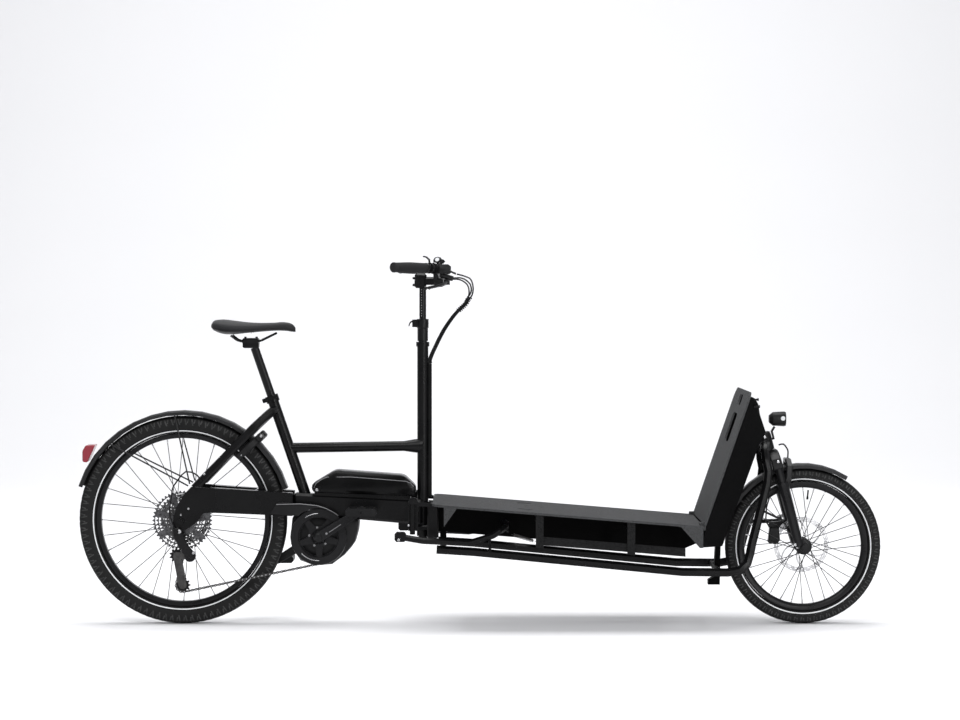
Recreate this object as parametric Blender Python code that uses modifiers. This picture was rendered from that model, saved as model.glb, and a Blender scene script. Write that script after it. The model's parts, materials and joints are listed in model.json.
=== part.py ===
"""Electric cargo bike with a load deck in front of the rider, at rest on its wheels.

Metres, +Z up, the front of the bike towards +X and its left side towards +Y.
The ground is Z = 0 and X = 0 is halfway along the bike.
"""

import math

import bmesh
import bpy
from mathutils import Vector

# Clearances
GAP = 0.0003
SHAFT_GAP = 0.0004
SLIDE_GAP = 0.0004

# Wheels
REAR_RADIUS = 0.334
REAR_AXLE = (-0.9525, REAR_RADIUS)
REAR_TYRE = 0.057
FRONT_RADIUS = 0.250
FRONT_AXLE = (1.0365, FRONT_RADIUS)
FRONT_TYRE = 0.055
TYRE_CROWN = 0.015
RIM_WIDTH = 0.027
SPOKE_RADIUS = 0.0011
WHEEL_STEPS = 32
HUB_STEPS = 12
WHEEL_TURN = math.pi / WHEEL_STEPS

# Drive
CRANK_AXLE = (-0.515, 0.283)
CRANK_LENGTH = 0.165
CRANK_ANGLE = math.radians(32)
CHAIN_Y = -0.050
CHAIN_PITCH = 0.0127
PLAIN_AFTER = 3
CHAINRING_TEETH = 42
DRIVEN_TEETH = 21
PULLEY_TEETH = 11
COG_TEETH = (46, 34, 26, 21, 16, 11)
COG_STEP = 0.0055
COG_THICK = 0.0016
GUARD_RADIUS = 0.0940
GUIDE_PULLEY = (-0.9678, 0.2236)
TENSION_PULLEY = (-0.9494, 0.1287)
AXLE_RADIUS = 0.007

# Frame
SEAT_LOW = (-0.5644, 0.4261)
SEAT_HIGH = (-0.6692, 0.7312)
SEAT_TUBE = 0.0175
SEATPOST = 0.0136
MAST_X = -0.1835
MAST_RADIUS = 0.018
MAST_TOP = 0.898
COLUMN_RADIUS = 0.0140
UPPER_POST = 0.0111
TOP_TUBE = 0.0165
RAIL_RADIUS = 0.014
RAIL_Y = 0.145
STAY_RADIUS = 0.014

# Load deck: its top surface falls towards the front
DECK_SLOPE = 0.0805
DECK_HEIGHT = 0.3888
DECK_REAR = -0.150
DECK_FRONT = 0.700
DECK_HALF = 0.220
DECK_THICK = 0.007
WALL_LEAN = math.radians(19)
WALL_FOOT = (DECK_FRONT + 0.0025, DECK_HEIGHT - 0.0526)
WALL_HEIGHT = 0.440
WALL_THICK = 0.006

# Fork: distances run down the steering axis from the point below
STEER_POINT = (0.9125, 0.6046)
STEER_LEAN = math.radians(15)
LEG_AHEAD = 0.012
LEG_Y = 0.056
LOWER_TOP = 0.157

# Stand and steering linkage
STAND_AXLE = (0.080, 0.326)
STAND_Y = 0.190
STAND_TUBE = 0.0105
LINK_Y = 0.1640
LINK_REAR = (MAST_X, 0.2840)
LINK_FRONT = (0.984, 0.315)
ROD_RADIUS = 0.007

for old in list(bpy.data.objects):
    bpy.data.objects.remove(old)

PARTS = bpy.data.collections.new("cargo_bike")
CUTTERS = bpy.data.collections.new("cutters")
bpy.context.scene.collection.children.link(PARTS)
bpy.context.scene.collection.children.link(CUTTERS)

FINISHES = {
    "frame": ((0.014, 0.014, 0.015), 0.42, 0.0),
    "black": ((0.012, 0.012, 0.012), 0.50, 0.0),
    "rubber": ((0.020, 0.020, 0.020), 0.80, 0.0),
    "grip": ((0.015, 0.015, 0.016), 0.85, 0.0),
    "deck": ((0.115, 0.115, 0.115), 0.90, 0.0),
    "wall": ((0.080, 0.080, 0.082), 0.85, 0.0),
    "steel": ((0.42, 0.42, 0.43), 0.30, 1.0),
    "silver": ((0.60, 0.60, 0.61), 0.28, 1.0),
    "grey": ((0.25, 0.25, 0.26), 0.45, 0.6),
    "dark": ((0.055, 0.055, 0.058), 0.40, 0.8),
    "red": ((0.45, 0.010, 0.012), 0.25, 0.0),
    "pale": ((0.55, 0.56, 0.57), 0.30, 0.0),
}


def vec(x, y, z):
    return Vector((x, y, z))


def helper(bm, name="piece"):
    """A closed mesh kept in the cutters' collection until a part uses it."""
    bmesh.ops.recalc_face_normals(bm, faces=bm.faces)
    mesh = bpy.data.meshes.new(name)
    bm.to_mesh(mesh)
    bm.free()
    obj = bpy.data.objects.new(name, mesh)
    obj.hide_render = True
    obj.display_type = "WIRE"
    CUTTERS.objects.link(obj)
    return obj


def bridge(bm, rings, closed=False):
    """Side faces between rings of points, and an end face at each end of an open row."""
    count = len(rings[0])
    pairs = list(zip(rings, rings[1:]))
    if closed:
        pairs.append((rings[-1], rings[0]))
    for low, high in pairs:
        for i in range(count):
            j = (i + 1) % count
            bm.faces.new((low[i], low[j], high[j], high[i]))
    if not closed:
        bm.faces.new(rings[0])
        bm.faces.new(rings[-1])


def loft(rings, closed=False):
    bm = bmesh.new()
    bridge(bm, [[bm.verts.new(p) for p in ring] for ring in rings], closed)
    return helper(bm)


def circle(radius, sides=8, flat=1.0):
    """Corners of a round section; flat squeezes it across the second axis."""
    step = 2 * math.pi / sides
    turn = step / 2
    return [
        (radius * math.cos(step * i + turn), radius * flat * math.sin(step * i + turn))
        for i in range(sides)
    ]


def rectangle(width, height, corner=0.0):
    w, h = width / 2, height / 2
    if corner == 0.0:
        return [(w, h), (-w, h), (-w, -h), (w, -h)]
    c = corner
    return [
        (w, h - c),
        (w - c, h),
        (c - w, h),
        (-w, h - c),
        (-w, c - h),
        (c - w, -h),
        (w - c, -h),
        (w, c - h),
    ]


def sweep(points, section, scale=None, up=(0, 0, 1), closed=False):
    """A section carried along a line of points with mitred bends."""
    line = [Vector(p) for p in points]
    count = len(line)
    first = (line[0] - line[-1] if closed else line[1] - line[0]).normalized()
    side = Vector(up).cross(first)
    if side.length < 1e-6:
        side = vec(1, 0, 0).cross(first)
    side.normalize()
    top = first.cross(side)
    heading = first
    rings = []
    for i, point in enumerate(line):
        before = (point - line[i - 1]).normalized() if i or closed else first
        after = (line[(i + 1) % count] - point).normalized() if i < count - 1 or closed else before
        turn = heading.rotation_difference(before)
        side, top, heading = turn @ side, turn @ top, before
        mitre = (before + after).normalized()
        k = scale[i] if scale else 1.0
        ring = []
        for u, v in section:
            offset = (side * u + top * v) * k
            offset -= before * (offset.dot(mitre) / before.dot(mitre))
            ring.append(point + offset)
        rings.append(ring)
    return loft(rings, closed)


def pipe(points, radius, sides=8, scale=None):
    return sweep(points, circle(radius, sides), scale)


def rod(start, end, radius, sides=12):
    return pipe([start, end], radius, sides)


def rounded(points, radius, cuts=3):
    """The line of points with each inner corner replaced by an arc of this radius."""
    line = [Vector(p) for p in points]
    result = [line[0]]
    for before, corner, after in zip(line, line[1:], line[2:]):
        a = (before - corner).normalized()
        b = (after - corner).normalized()
        angle = a.angle(b)
        reach = min(
            radius / math.tan(angle / 2),
            0.48 * (before - corner).length,
            0.48 * (after - corner).length,
        )
        start, end = corner + a * reach, corner + b * reach
        for i in range(cuts + 1):
            t = i / cuts
            result.append(start * (1 - t) ** 2 + corner * 2 * t * (1 - t) + end * t**2)
    result.append(line[-1])
    return result


def frame_of(axis):
    """Two directions square to an axis, the first level with the ground where it can be."""
    w = Vector(axis).normalized()
    u = vec(1, 0, 0) if abs(w.x) < 0.9 else vec(0, 1, 0)
    u = (u - w * u.dot(w)).normalized()
    return u, w.cross(u), w


def turned(profile, centre, axis=(0, 1, 0), steps=24, closed=False, phase=0.0):
    """A shape turned about an axis from pairs of distance along it and radius."""
    u, v, w = frame_of(axis)
    centre = Vector(centre)
    bm = bmesh.new()
    rows = []
    for along, radius in profile:
        middle = centre + w * along
        if radius == 0.0:
            rows.append([bm.verts.new(middle)])
            continue
        row = []
        for i in range(steps):
            angle = 2 * math.pi * i / steps + phase
            row.append(bm.verts.new(middle + (u * math.cos(angle) + v * math.sin(angle)) * radius))
        rows.append(row)
    pairs = list(zip(rows, rows[1:]))
    if closed:
        pairs.append((rows[-1], rows[0]))
    for low, high in pairs:
        for i in range(steps):
            j = (i + 1) % steps
            if len(low) == 1:
                bm.faces.new((low[0], high[j], high[i]))
            elif len(high) == 1:
                bm.faces.new((low[i], low[j], high[0]))
            else:
                bm.faces.new((low[i], low[j], high[j], high[i]))
    if not closed:
        for row in (rows[0], rows[-1]):
            if len(row) > 1:
                bm.faces.new(row)
    return helper(bm)


def plate(outline, near, far, origin=(0, 0, 0), u=(1, 0, 0), v=(0, 0, 1), w=(0, 1, 0)):
    """An outline in the u-v plane made thick along w, from near to far."""
    u, v, w, origin = Vector(u), Vector(v), Vector(w), Vector(origin)
    flat = [origin + u * a + v * b for a, b in outline]
    return loft([[p + w * near for p in flat], [p + w * far for p in flat]])


def box(low, high):
    """A block between two corners."""
    outline = [(low[0], low[2]), (high[0], low[2]), (high[0], high[2]), (low[0], high[2])]
    return plate(outline, low[1], high[1])


def block(centre, size, lean=0.0):
    """A block about its middle, turned about Y so that its top leans towards +X."""
    c, s = math.cos(lean), math.sin(lean)
    outline = rectangle(size[0], size[2])
    return plate(outline, -size[1] / 2, size[1] / 2, centre, u=(c, 0, -s), v=(s, 0, c))


def arc(centre, radius, start, end, cuts):
    """Points of an arc in degrees about a centre."""
    result = []
    for i in range(cuts + 1):
        angle = math.radians(start + (end - start) * i / cuts)
        result.append((centre[0] + radius * math.cos(angle), centre[1] + radius * math.sin(angle)))
    return result


def islands(pieces):
    """Several pieces that don't meet, as one helper."""
    bm = bmesh.new()
    for piece in pieces:
        bm.from_mesh(piece.data)
        bpy.data.objects.remove(piece)
    return helper(bm, "group")


def bevel(obj, width, segments=2, angle=40):
    modifier = obj.modifiers.new("rounding", "BEVEL")
    modifier.width = width
    modifier.segments = segments
    modifier.limit_method = "ANGLE"
    modifier.angle_limit = math.radians(angle)
    return obj


def carve(obj, *cutters):
    """Room cut out of a piece before it joins a part."""
    for cutter in cutters:
        modifier = obj.modifiers.new("room", "BOOLEAN")
        modifier.operation = "DIFFERENCE"
        modifier.solver = "EXACT"
        modifier.object = cutter
    return obj


def part(name, body, finish, add=(), cut=(), axis=None):
    """Turns a helper into a part: pieces joined on, room cut out, origin on the joint's axis."""
    body.name = name
    body.data.name = name
    body.hide_render = False
    body.display_type = "TEXTURED"
    CUTTERS.objects.unlink(body)
    PARTS.objects.link(body)
    if axis:
        origin = Vector(axis)
        for vertex in body.data.vertices:
            vertex.co -= origin
        body.location = origin
    for kind, operands in (("UNION", add), ("DIFFERENCE", cut)):
        for i, operand in enumerate(operands):
            operand.name = f"{name}_{kind.lower()}_{i}"
            modifier = body.modifiers.new(f"{kind.lower()}_{i}", "BOOLEAN")
            modifier.operation = kind
            modifier.solver = "EXACT"
            modifier.object = operand
    colour, roughness, metallic = FINISHES[finish]
    paint = bpy.data.materials.new(name)
    paint.use_nodes = True
    shader = paint.node_tree.nodes["Principled BSDF"]
    shader.inputs["Base Color"].default_value = (*colour, 1.0)
    shader.inputs["Roughness"].default_value = roughness
    shader.inputs["Metallic"].default_value = metallic
    body.data.materials.append(paint)
    return body


def at(point, y=0.0):
    """A point of the middle plane moved sideways to y."""
    return vec(point[0], y, point[1])


def between(a, b, t):
    return tuple(p + (q - p) * t for p, q in zip(a, b))


def deck_top(x):
    return DECK_HEIGHT - DECK_SLOPE * (x + 0.0016)


# Wheels


def tyre_profile(axle_height, width, seat):
    """The tyre's section: its flats touch the ground below the axle."""
    radius = axle_height / math.cos(WHEEL_TURN)
    half = width / 2
    return [
        (-TYRE_CROWN, radius),
        (TYRE_CROWN, radius),
        (half, radius - 0.022),
        (0.46 * half, seat),
        (-0.46 * half, seat),
        (-half, radius - 0.022),
    ]


def rim_profile(outer, inner):
    half = RIM_WIDTH / 2
    return [
        (-half, outer),
        (half, outer),
        (0.35 * half, inner),
        (-0.35 * half, inner),
    ]


def hub_profile(right, left, right_end, left_end, flange, barrel):
    bore = AXLE_RADIUS + SHAFT_GAP
    return [
        (right_end, bore),
        (right_end, barrel),
        (right - 0.003, flange),
        (right + 0.003, flange),
        (right + 0.006, barrel),
        (left - 0.006, barrel),
        (left - 0.003, flange),
        (left + 0.003, flange),
        (left_end, barrel),
        (left_end, bore),
    ]


def spokes(axle, right, left, flange, rim, trailing, leading):
    """Two sets of crossed spokes from each flange into the rim."""
    reach = rim + 0.003
    bars = []
    for level, shift in ((right, 0.0), (left, 11.25)):
        for k in range(8):
            pairs = (
                (45 * k, 45 * k + trailing, 1),
                (45 * k + 22.5, 45 * k + leading, -1),
            )
            for start, end, layer in pairs:
                a, b = math.radians(start + shift), math.radians(end + shift)
                low, high = 0.80 * flange, reach
                bars.append(
                    rod(
                        vec(
                            axle[0] + low * math.cos(a),
                            level + 0.0016 * layer,
                            axle[1] + low * math.sin(a),
                        ),
                        vec(axle[0] + high * math.cos(b), 0.0013 * layer, axle[1] + high * math.sin(b)),
                        SPOKE_RADIUS,
                        3,
                    )
                )
    return islands(bars)


def brake_disc(axle, y, outer, arms=4):
    inner = AXLE_RADIUS + SHAFT_GAP
    half = 0.0009
    profile = [(y - half, outer), (y + half, outer), (y + half, inner), (y - half, inner)]
    disc = turned(profile, at(axle), steps=20, closed=True)
    windows = []
    for k in range(arms):
        start = 360 * k / arms + 8
        end = start + 360 / arms - 22
        low = arc(axle, 0.028, start, end - 8, 1)
        high = arc(axle, outer - 0.016, start + 12, end + 8, 2)
        windows.append(plate(low + high[::-1], y - 0.01, y + 0.01))
    return carve(disc, islands(windows))


def valve_at(radius):
    """A place on the valve of the front wheel, which sits between two spokes near the top."""
    angle = math.radians(84.4)
    return at((FRONT_AXLE[0] + radius * math.cos(angle), FRONT_AXLE[1] + radius * math.sin(angle)))


REAR_RIM = (REAR_RADIUS - 0.0485, REAR_RADIUS - 0.072)
FRONT_RIM = (FRONT_RADIUS - 0.0415, FRONT_RADIUS - 0.070)
REAR_FLANGES = (-0.020, 0.034)
FRONT_FLANGES = (-0.030, 0.026)

part(
    "rear_tyre",
    turned(
        tyre_profile(REAR_RADIUS, REAR_TYRE, REAR_RIM[0] + GAP / math.cos(WHEEL_TURN)),
        at(REAR_AXLE),
        steps=WHEEL_STEPS,
        closed=True,
        phase=WHEEL_TURN,
    ),
    "rubber",
    axis=at(REAR_AXLE),
)
hub = turned(
    hub_profile(*REAR_FLANGES, -0.0255, 0.0500, 0.029, 0.016),
    at(REAR_AXLE),
    steps=HUB_STEPS,
    closed=True,
    phase=WHEEL_TURN,
)
part(
    "rear_wheel",
    turned(rim_profile(*REAR_RIM), at(REAR_AXLE), steps=WHEEL_STEPS, closed=True, phase=WHEEL_TURN),
    "black",
    add=[
        spokes(REAR_AXLE, *REAR_FLANGES, 0.029, REAR_RIM[1], 67.5, -45),
        hub,
        brake_disc(REAR_AXLE, 0.0505, 0.080),
    ],
    axis=at(REAR_AXLE),
)

part(
    "front_tyre",
    turned(
        tyre_profile(FRONT_RADIUS, FRONT_TYRE, FRONT_RIM[0] + GAP / math.cos(WHEEL_TURN)),
        at(FRONT_AXLE),
        steps=WHEEL_STEPS,
        closed=True,
        phase=WHEEL_TURN,
    ),
    "rubber",
    axis=at(FRONT_AXLE),
)
hub = turned(
    hub_profile(*FRONT_FLANGES, -0.0400, 0.0360, 0.026, 0.014),
    at(FRONT_AXLE),
    steps=HUB_STEPS,
    closed=True,
    phase=WHEEL_TURN,
)
valve = rod(valve_at(FRONT_RIM[1] + 0.004), valve_at(0.150), 0.0026, 6)
part(
    "front_wheel",
    turned(rim_profile(*FRONT_RIM), at(FRONT_AXLE), steps=WHEEL_STEPS, closed=True, phase=WHEEL_TURN),
    "black",
    add=[
        spokes(FRONT_AXLE, *FRONT_FLANGES, 0.026, FRONT_RIM[1], 45, -22.5),
        hub,
        brake_disc(FRONT_AXLE, 0.0365, 0.090),
        valve,
    ],
    axis=at(FRONT_AXLE),
)

# Drive: the chain is one band of links round two sprockets and two pulleys


def pitch_radius(teeth):
    return teeth * CHAIN_PITCH / (2 * math.pi)


LOOP = (
    (CRANK_AXLE, pitch_radius(CHAINRING_TEETH), 1),
    (REAR_AXLE, pitch_radius(DRIVEN_TEETH), 1),
    (GUIDE_PULLEY, pitch_radius(PULLEY_TEETH), -1),
    (TENSION_PULLEY, pitch_radius(PULLEY_TEETH), 1),
)


def chain_route():
    """Straight runs and arcs of the loop: a length each, and a function to a place and a heading."""
    touch = []
    for (a, ra, sa), (b, rb, sb) in zip(LOOP, LOOP[1:] + LOOP[:1]):
        dx, dz = b[0] - a[0], b[1] - a[1]
        normal = math.atan2(dz, dx) - math.acos((sa * ra - sb * rb) / math.hypot(dx, dz))
        start = (a[0] + sa * ra * math.cos(normal), a[1] + sa * ra * math.sin(normal))
        end = (b[0] + sb * rb * math.cos(normal), b[1] + sb * rb * math.sin(normal))
        touch.append((start, end))
    runs = []
    for i, (centre, radius, sense) in enumerate(LOOP):
        arrive, leave = touch[i - 1][1], touch[i][0]
        first = math.atan2(arrive[1] - centre[1], arrive[0] - centre[0])
        last = math.atan2(leave[1] - centre[1], leave[0] - centre[0])
        swing = (sense * (last - first)) % (2 * math.pi)
        runs.append(("arc", radius * swing, centre, radius, sense, first))
        start, end = touch[i]
        runs.append(("line", math.dist(start, end), start, end))
    return runs


RUNS = chain_route()
LOOP_LENGTH = sum(run[1] for run in RUNS)
LINKS = 2 * round(LOOP_LENGTH / CHAIN_PITCH / 2)
LINK_STEP = LOOP_LENGTH / LINKS


def along_chain(distance):
    """The place and heading in the middle plane at a distance along the loop."""
    distance %= LOOP_LENGTH
    for run in RUNS:
        if distance <= run[1]:
            break
        distance -= run[1]
    if run[0] == "line":
        t = distance / run[1]
        place = between(run[2], run[3], t)
        return place, math.atan2(run[3][1] - run[2][1], run[3][0] - run[2][0])
    _, _, centre, radius, sense, first = run
    angle = first + sense * distance / radius
    place = (centre[0] + radius * math.cos(angle), centre[1] + radius * math.sin(angle))
    return place, angle + sense * math.pi / 2


def tooth_phase(index, teeth):
    """The angle of one tooth of a sprocket, midway between the two pins nearest the middle of its arc."""
    before = sum(run[1] for run in RUNS[: 2 * index])
    middle = before + RUNS[2 * index][1] / 2
    slot = (math.floor(middle / LINK_STEP) + 0.5) * LINK_STEP
    place, _ = along_chain(slot)
    centre = LOOP[index][0]
    return math.atan2(place[1] - centre[1], place[0] - centre[0])


def chain_band():
    """Side plates joined at each pin, with an open slot between two pins.

    The two straight runs to the front are plain.
    """
    edge, inner, half_block, half_height = 0.0029, 0.0012, 0.0025, 0.0043
    plain = []
    for index in (1, 7):
        start = sum(run[1] for run in RUNS[:index])
        first = math.ceil(start / LINK_STEP) + PLAIN_AFTER
        last = math.floor((start + RUNS[index][1]) / LINK_STEP) - PLAIN_AFTER
        plain.append((first, last))
    bm = bmesh.new()
    blocks = []
    for i in range(LINKS):
        if any(first < i < last for first, last in plain):
            continue
        place, heading = along_chain(i * LINK_STEP)
        c, s = math.cos(heading), math.sin(heading)
        rows = []
        for shift, y in ((0.0, edge), (-half_block, inner), (half_block, inner)):
            if any((shift > 0 and i == first) or (shift < 0 and i == last) for first, last in plain):
                rows.append(None)
                continue
            row = []
            for up in (-half_height, half_height):
                for side in (-y, y):
                    x = place[0] + c * shift - s * up
                    z = place[1] + s * shift + c * up
                    row.append(bm.verts.new((x, CHAIN_Y + side, z)))
            rows.append(row)
        blocks.append(rows)
    for (outer, before, after), (next_outer, next_before, _) in zip(blocks, blocks[1:] + blocks[:1]):
        for k in (0, 2):
            ring = [outer[k]]
            ring += [before[k], before[k + 1]] if before else []
            ring.append(outer[k + 1])
            ring += [after[k + 1], after[k]] if after else []
            bm.faces.new(ring)
            if after:
                bm.faces.new((outer[k], after[k], next_before[k], next_outer[k]))
                bm.faces.new((outer[k + 1], after[k + 1], next_before[k + 1], next_outer[k + 1]))
            else:
                bm.faces.new((outer[k], outer[k + 1], next_outer[k + 1], next_outer[k]))
        for k in (0, 1):
            bm.faces.new((outer[k], outer[k + 2], next_outer[k + 2], next_outer[k]))
            if after:
                bm.faces.new((after[k], after[k + 2], next_before[k + 2], next_before[k]))
        for row in (before, after):
            if row:
                bm.faces.new((row[0], row[1], row[3], row[2]))
    return helper(bm)


def toothed(centre, teeth, y, phase=0.0, thick=COG_THICK, meshing=False):
    """A toothed disc; a meshing one leaves room for the chain's blocks between its teeth."""
    radius = pitch_radius(teeth)
    step = 2 * math.pi / teeth
    root, tip = radius - 0.0058, radius + 0.0030
    outline = []
    for k in range(teeth):
        angle = phase + k * step
        if meshing:
            half = 0.0029 / root
            outline += [
                (centre[0] + root * math.cos(angle - half), centre[1] + root * math.sin(angle - half)),
                (centre[0] + tip * math.cos(angle), centre[1] + tip * math.sin(angle)),
                (centre[0] + root * math.cos(angle + half), centre[1] + root * math.sin(angle + half)),
            ]
        else:
            outline += [
                (centre[0] + tip * math.cos(angle), centre[1] + tip * math.sin(angle)),
                (
                    centre[0] + root * math.cos(angle + step / 2),
                    centre[1] + root * math.sin(angle + step / 2),
                ),
            ]
    return plate(outline, y - thick / 2, y + thick / 2)


part("chain", chain_band(), "dark")

DRIVEN = COG_TEETH.index(DRIVEN_TEETH)
COG_Y = [CHAIN_Y + (DRIVEN - k) * COG_STEP for k in range(len(COG_TEETH))]
profile = [(COG_Y[-1] - 0.0025, 0.0), (COG_Y[-1] - 0.0025, 0.0145)]
for k in reversed(range(len(COG_TEETH))):
    if k in (0, DRIVEN):
        continue
    radius = pitch_radius(COG_TEETH[k]) + 0.0015
    for shift, size in ((-0.5, 0.0145), (-0.5, radius), (0.5, radius), (0.5, 0.0145)):
        profile.append((COG_Y[k] + shift * COG_THICK, size))
profile += [(COG_Y[0] + 0.0020, 0.0145), (COG_Y[0] + 0.0020, 0.0)]
core = turned(profile, at(REAR_AXLE), steps=15)
cogs = [
    toothed(REAR_AXLE, COG_TEETH[0], COG_Y[0]),
    toothed(REAR_AXLE, DRIVEN_TEETH, COG_Y[DRIVEN], tooth_phase(1, DRIVEN_TEETH), meshing=True),
]
bore = rod(at(REAR_AXLE, -0.09), at(REAR_AXLE, -0.01), AXLE_RADIUS + SHAFT_GAP, HUB_STEPS)
part("cassette", core, "dark", add=[islands(cogs)], cut=[bore], axis=at(REAR_AXLE))

# Cranks, pedals and derailleur


def crank_tip(turn):
    return (
        CRANK_AXLE[0] + CRANK_LENGTH * math.cos(CRANK_ANGLE + turn),
        CRANK_AXLE[1] + CRANK_LENGTH * math.sin(CRANK_ANGLE + turn),
    )


ARM_Y = (0.0730, 0.0850)
SPINDLE_RADIUS = 0.012
PEDAL_PIN = 0.0045
PEDAL_Y = (0.0900, 0.1700)


def capsule(start, end, r_start, r_end, cuts=5):
    """The outline of a bar with round ends of two radii."""
    heading = math.degrees(math.atan2(end[1] - start[1], end[0] - start[0]))
    return arc(
        start,
        r_start,
        heading + 90,
        heading + 270,
        cuts,
    ) + arc(end, r_end, heading - 90, heading + 90, cuts)


def crank(side, turn):
    """The arm with its boss on the spindle and the pedal's pin."""
    tip = crank_tip(turn)
    near, far = sorted((side * ARM_Y[0], side * ARM_Y[1]))
    arm = plate(capsule(CRANK_AXLE, tip, 0.0165, 0.0125), near, far)
    pin = rod(at(tip, side * 0.080), at(tip, side * (PEDAL_Y[1] - 0.004)), PEDAL_PIN, 8)
    return bevel(arm, 0.003, 1, 60), pin


def pedal(side, turn):
    """A platform pedal with two openings through it."""
    tip = crank_tip(turn)
    near, far = sorted((side * PEDAL_Y[0], side * PEDAL_Y[1]))
    middle = (near + far) / 2
    body = plate(rectangle(0.098, 0.024, 0.007), near, far, at(tip))
    bore = rod(at(tip, near - 0.01), at(tip, far + 0.01), PEDAL_PIN + SHAFT_GAP, 8)
    openings = islands(
        [box(
            (tip[0] + shift - 0.013, middle - 0.026, tip[1] - 0.03),
            (tip[0] + shift + 0.013, middle + 0.026, tip[1] + 0.03),
        ) for shift in (-0.0255, 0.0255)]
    )
    return body, bore, openings


arm, pin = crank(-1, 0.0)
spindle = rod(at(CRANK_AXLE, -0.0800), at(CRANK_AXLE, 0.0700), SPINDLE_RADIUS, 10)
boss = turned(
    [
        (-0.0875, 0.0),
        (-0.0875, 0.0110),
        (-0.0840, 0.0150),
        (-0.0600, 0.0240),
        (-0.0515, 0.0240),
        (-0.0515, 0.0),
    ],
    at(CRANK_AXLE),
    steps=12,
)
star = []
for k in range(5):
    middle = math.radians(128 + 72 * k)
    for angle, radius in ((-0.11, 0.073), (0.11, 0.073), (0.32, 0.036), (0.94, 0.036)):
        star.append(
            (
                CRANK_AXLE[0] + radius * math.cos(middle + angle),
                CRANK_AXLE[1] + radius * math.sin(middle + angle),
            )
        )
star = plate(star, -0.0562, -0.0504)
ring = toothed(
    CRANK_AXLE,
    CHAINRING_TEETH,
    CHAIN_Y,
    tooth_phase(0, CHAINRING_TEETH),
    thick=0.0018,
    meshing=True,
)
carve(ring, rod(at(CRANK_AXLE, -0.07), at(CRANK_AXLE, -0.03), 0.062, 12))
chain_guard = turned(
    [(-0.0600, 0.0895), (-0.0550, 0.0907), (-0.0550, 0.0640), (-0.0600, 0.0655)],
    at(CRANK_AXLE),
    steps=26,
    closed=True,
)
part("crank_right", arm, "black", add=[spindle, boss, star, pin, ring, chain_guard], axis=at(CRANK_AXLE))

arm, pin = crank(1, math.pi)
part(
    "crank_left",
    arm,
    "black",
    add=[rod(at(CRANK_AXLE, 0.0703), at(CRANK_AXLE, 0.0880), 0.0150, 12), pin],
    axis=at(CRANK_AXLE),
)
for name, side, turn in (("pedal_right", -1, 0.0), ("pedal_left", 1, math.pi)):
    body, bore, openings = pedal(side, turn)
    part(name, body, "black", cut=[bore, openings], axis=at(crank_tip(turn)))

CAGE_PIVOT = (-0.923, 0.2236)
CAGE_Y = ((-0.0585, -0.0560), (-0.0440, -0.0420))
PULLEY_PIN = 0.0030
cage = plate(capsule(GUIDE_PULLEY, TENSION_PULLEY, 0.0120, 0.0130, 4), *CAGE_Y[0])
cage_inner = plate(capsule(GUIDE_PULLEY, TENSION_PULLEY, 0.0120, 0.0130, 4), *CAGE_Y[1])
cage_arm = plate(capsule(GUIDE_PULLEY, CAGE_PIVOT, 0.0100, 0.0130, 4), -0.0583, -0.0562)
pins = islands([
    rod(at(spot, -0.0578), at(spot, -0.0425), PULLEY_PIN, 8) for spot in (GUIDE_PULLEY, TENSION_PULLEY)
])
part("derailleur_cage", cage, "dark", add=[cage_arm, pins, cage_inner], axis=at(CAGE_PIVOT))
for name, index, spot in (("guide_pulley", 2, GUIDE_PULLEY), ("tension_pulley", 3, TENSION_PULLEY)):
    wheel = toothed(spot, PULLEY_TEETH, CHAIN_Y, tooth_phase(index, PULLEY_TEETH), meshing=True)
    bore = rod(at(spot, -0.06), at(spot, -0.04), PULLEY_PIN + SHAFT_GAP, 8)
    part(name, wheel, "black", cut=[bore], axis=at(spot))

HANGER = (-0.9663, 0.3038)
knuckle = turned(
    [(-0.0860, 0.0), (-0.0860, 0.0130), (-0.0820, 0.0180), (-0.0590, 0.0180), (-0.0590, 0.0)],
    at(CAGE_PIVOT),
    steps=16,
)
links = plate(
    [
        (-0.978, 0.312),
        (-0.955, 0.316),
        (-0.930, 0.262),
        (-0.908, 0.236),
        (-0.916, 0.214),
        (-0.945, 0.232),
        (-0.975, 0.285),
    ],
    -0.0910,
    -0.0790,
)
hanger_bolt = rod(at(HANGER, -0.0960), at(HANGER, -0.0785), 0.0085, 10)
shift_cable = pipe(
    rounded(
        [
            (-0.8840, -0.0970, 0.4620),
            (-0.8960, -0.0985, 0.4850),
            (-0.9350, -0.0990, 0.5010),
            (-0.9760, -0.0960, 0.4450),
            (-0.9880, -0.0920, 0.3600),
            (-0.9680, -0.0870, 0.3040),
        ],
        0.04,
        2,
    ),
    0.0025,
    5,
)
part("derailleur", knuckle, "grey", add=[bevel(links, 0.003, 1, 60), hanger_bolt, shift_cable])

# Rear half of the frame


def line_z(a, b, x):
    return a[1] + (b[1] - a[1]) * (x - a[0]) / (b[0] - a[0])


BEAM_TOP = ((-0.5426, 0.4187), (-0.2210, 0.4014))
BEAM_HALF = 0.030
STAY_TOP = ((-0.8788, 0.4426), (-0.5980, 0.4240))
STAY_LOW = ((-0.8810, 0.3632), (-0.5980, 0.3505))


def beam_top(x):
    return line_z(*BEAM_TOP, x)


mast_room = rod((MAST_X, 0, 0.2), (MAST_X, 0, 1.0), MAST_RADIUS + GAP, 24)
beam = plate(
    [
        (-0.5975, 0.3512),
        (-0.3840, 0.3358),
        (-0.2217, 0.3214),
        (MAST_X, 0.3180),
        (MAST_X, 0.3990),
        BEAM_TOP[1],
        BEAM_TOP[0],
        (-0.5975, line_z(*BEAM_TOP, -0.5975)),
    ],
    -BEAM_HALF,
    BEAM_HALF,
)
carve(bevel(beam, 0.008, 1, 60), mast_room)


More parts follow.
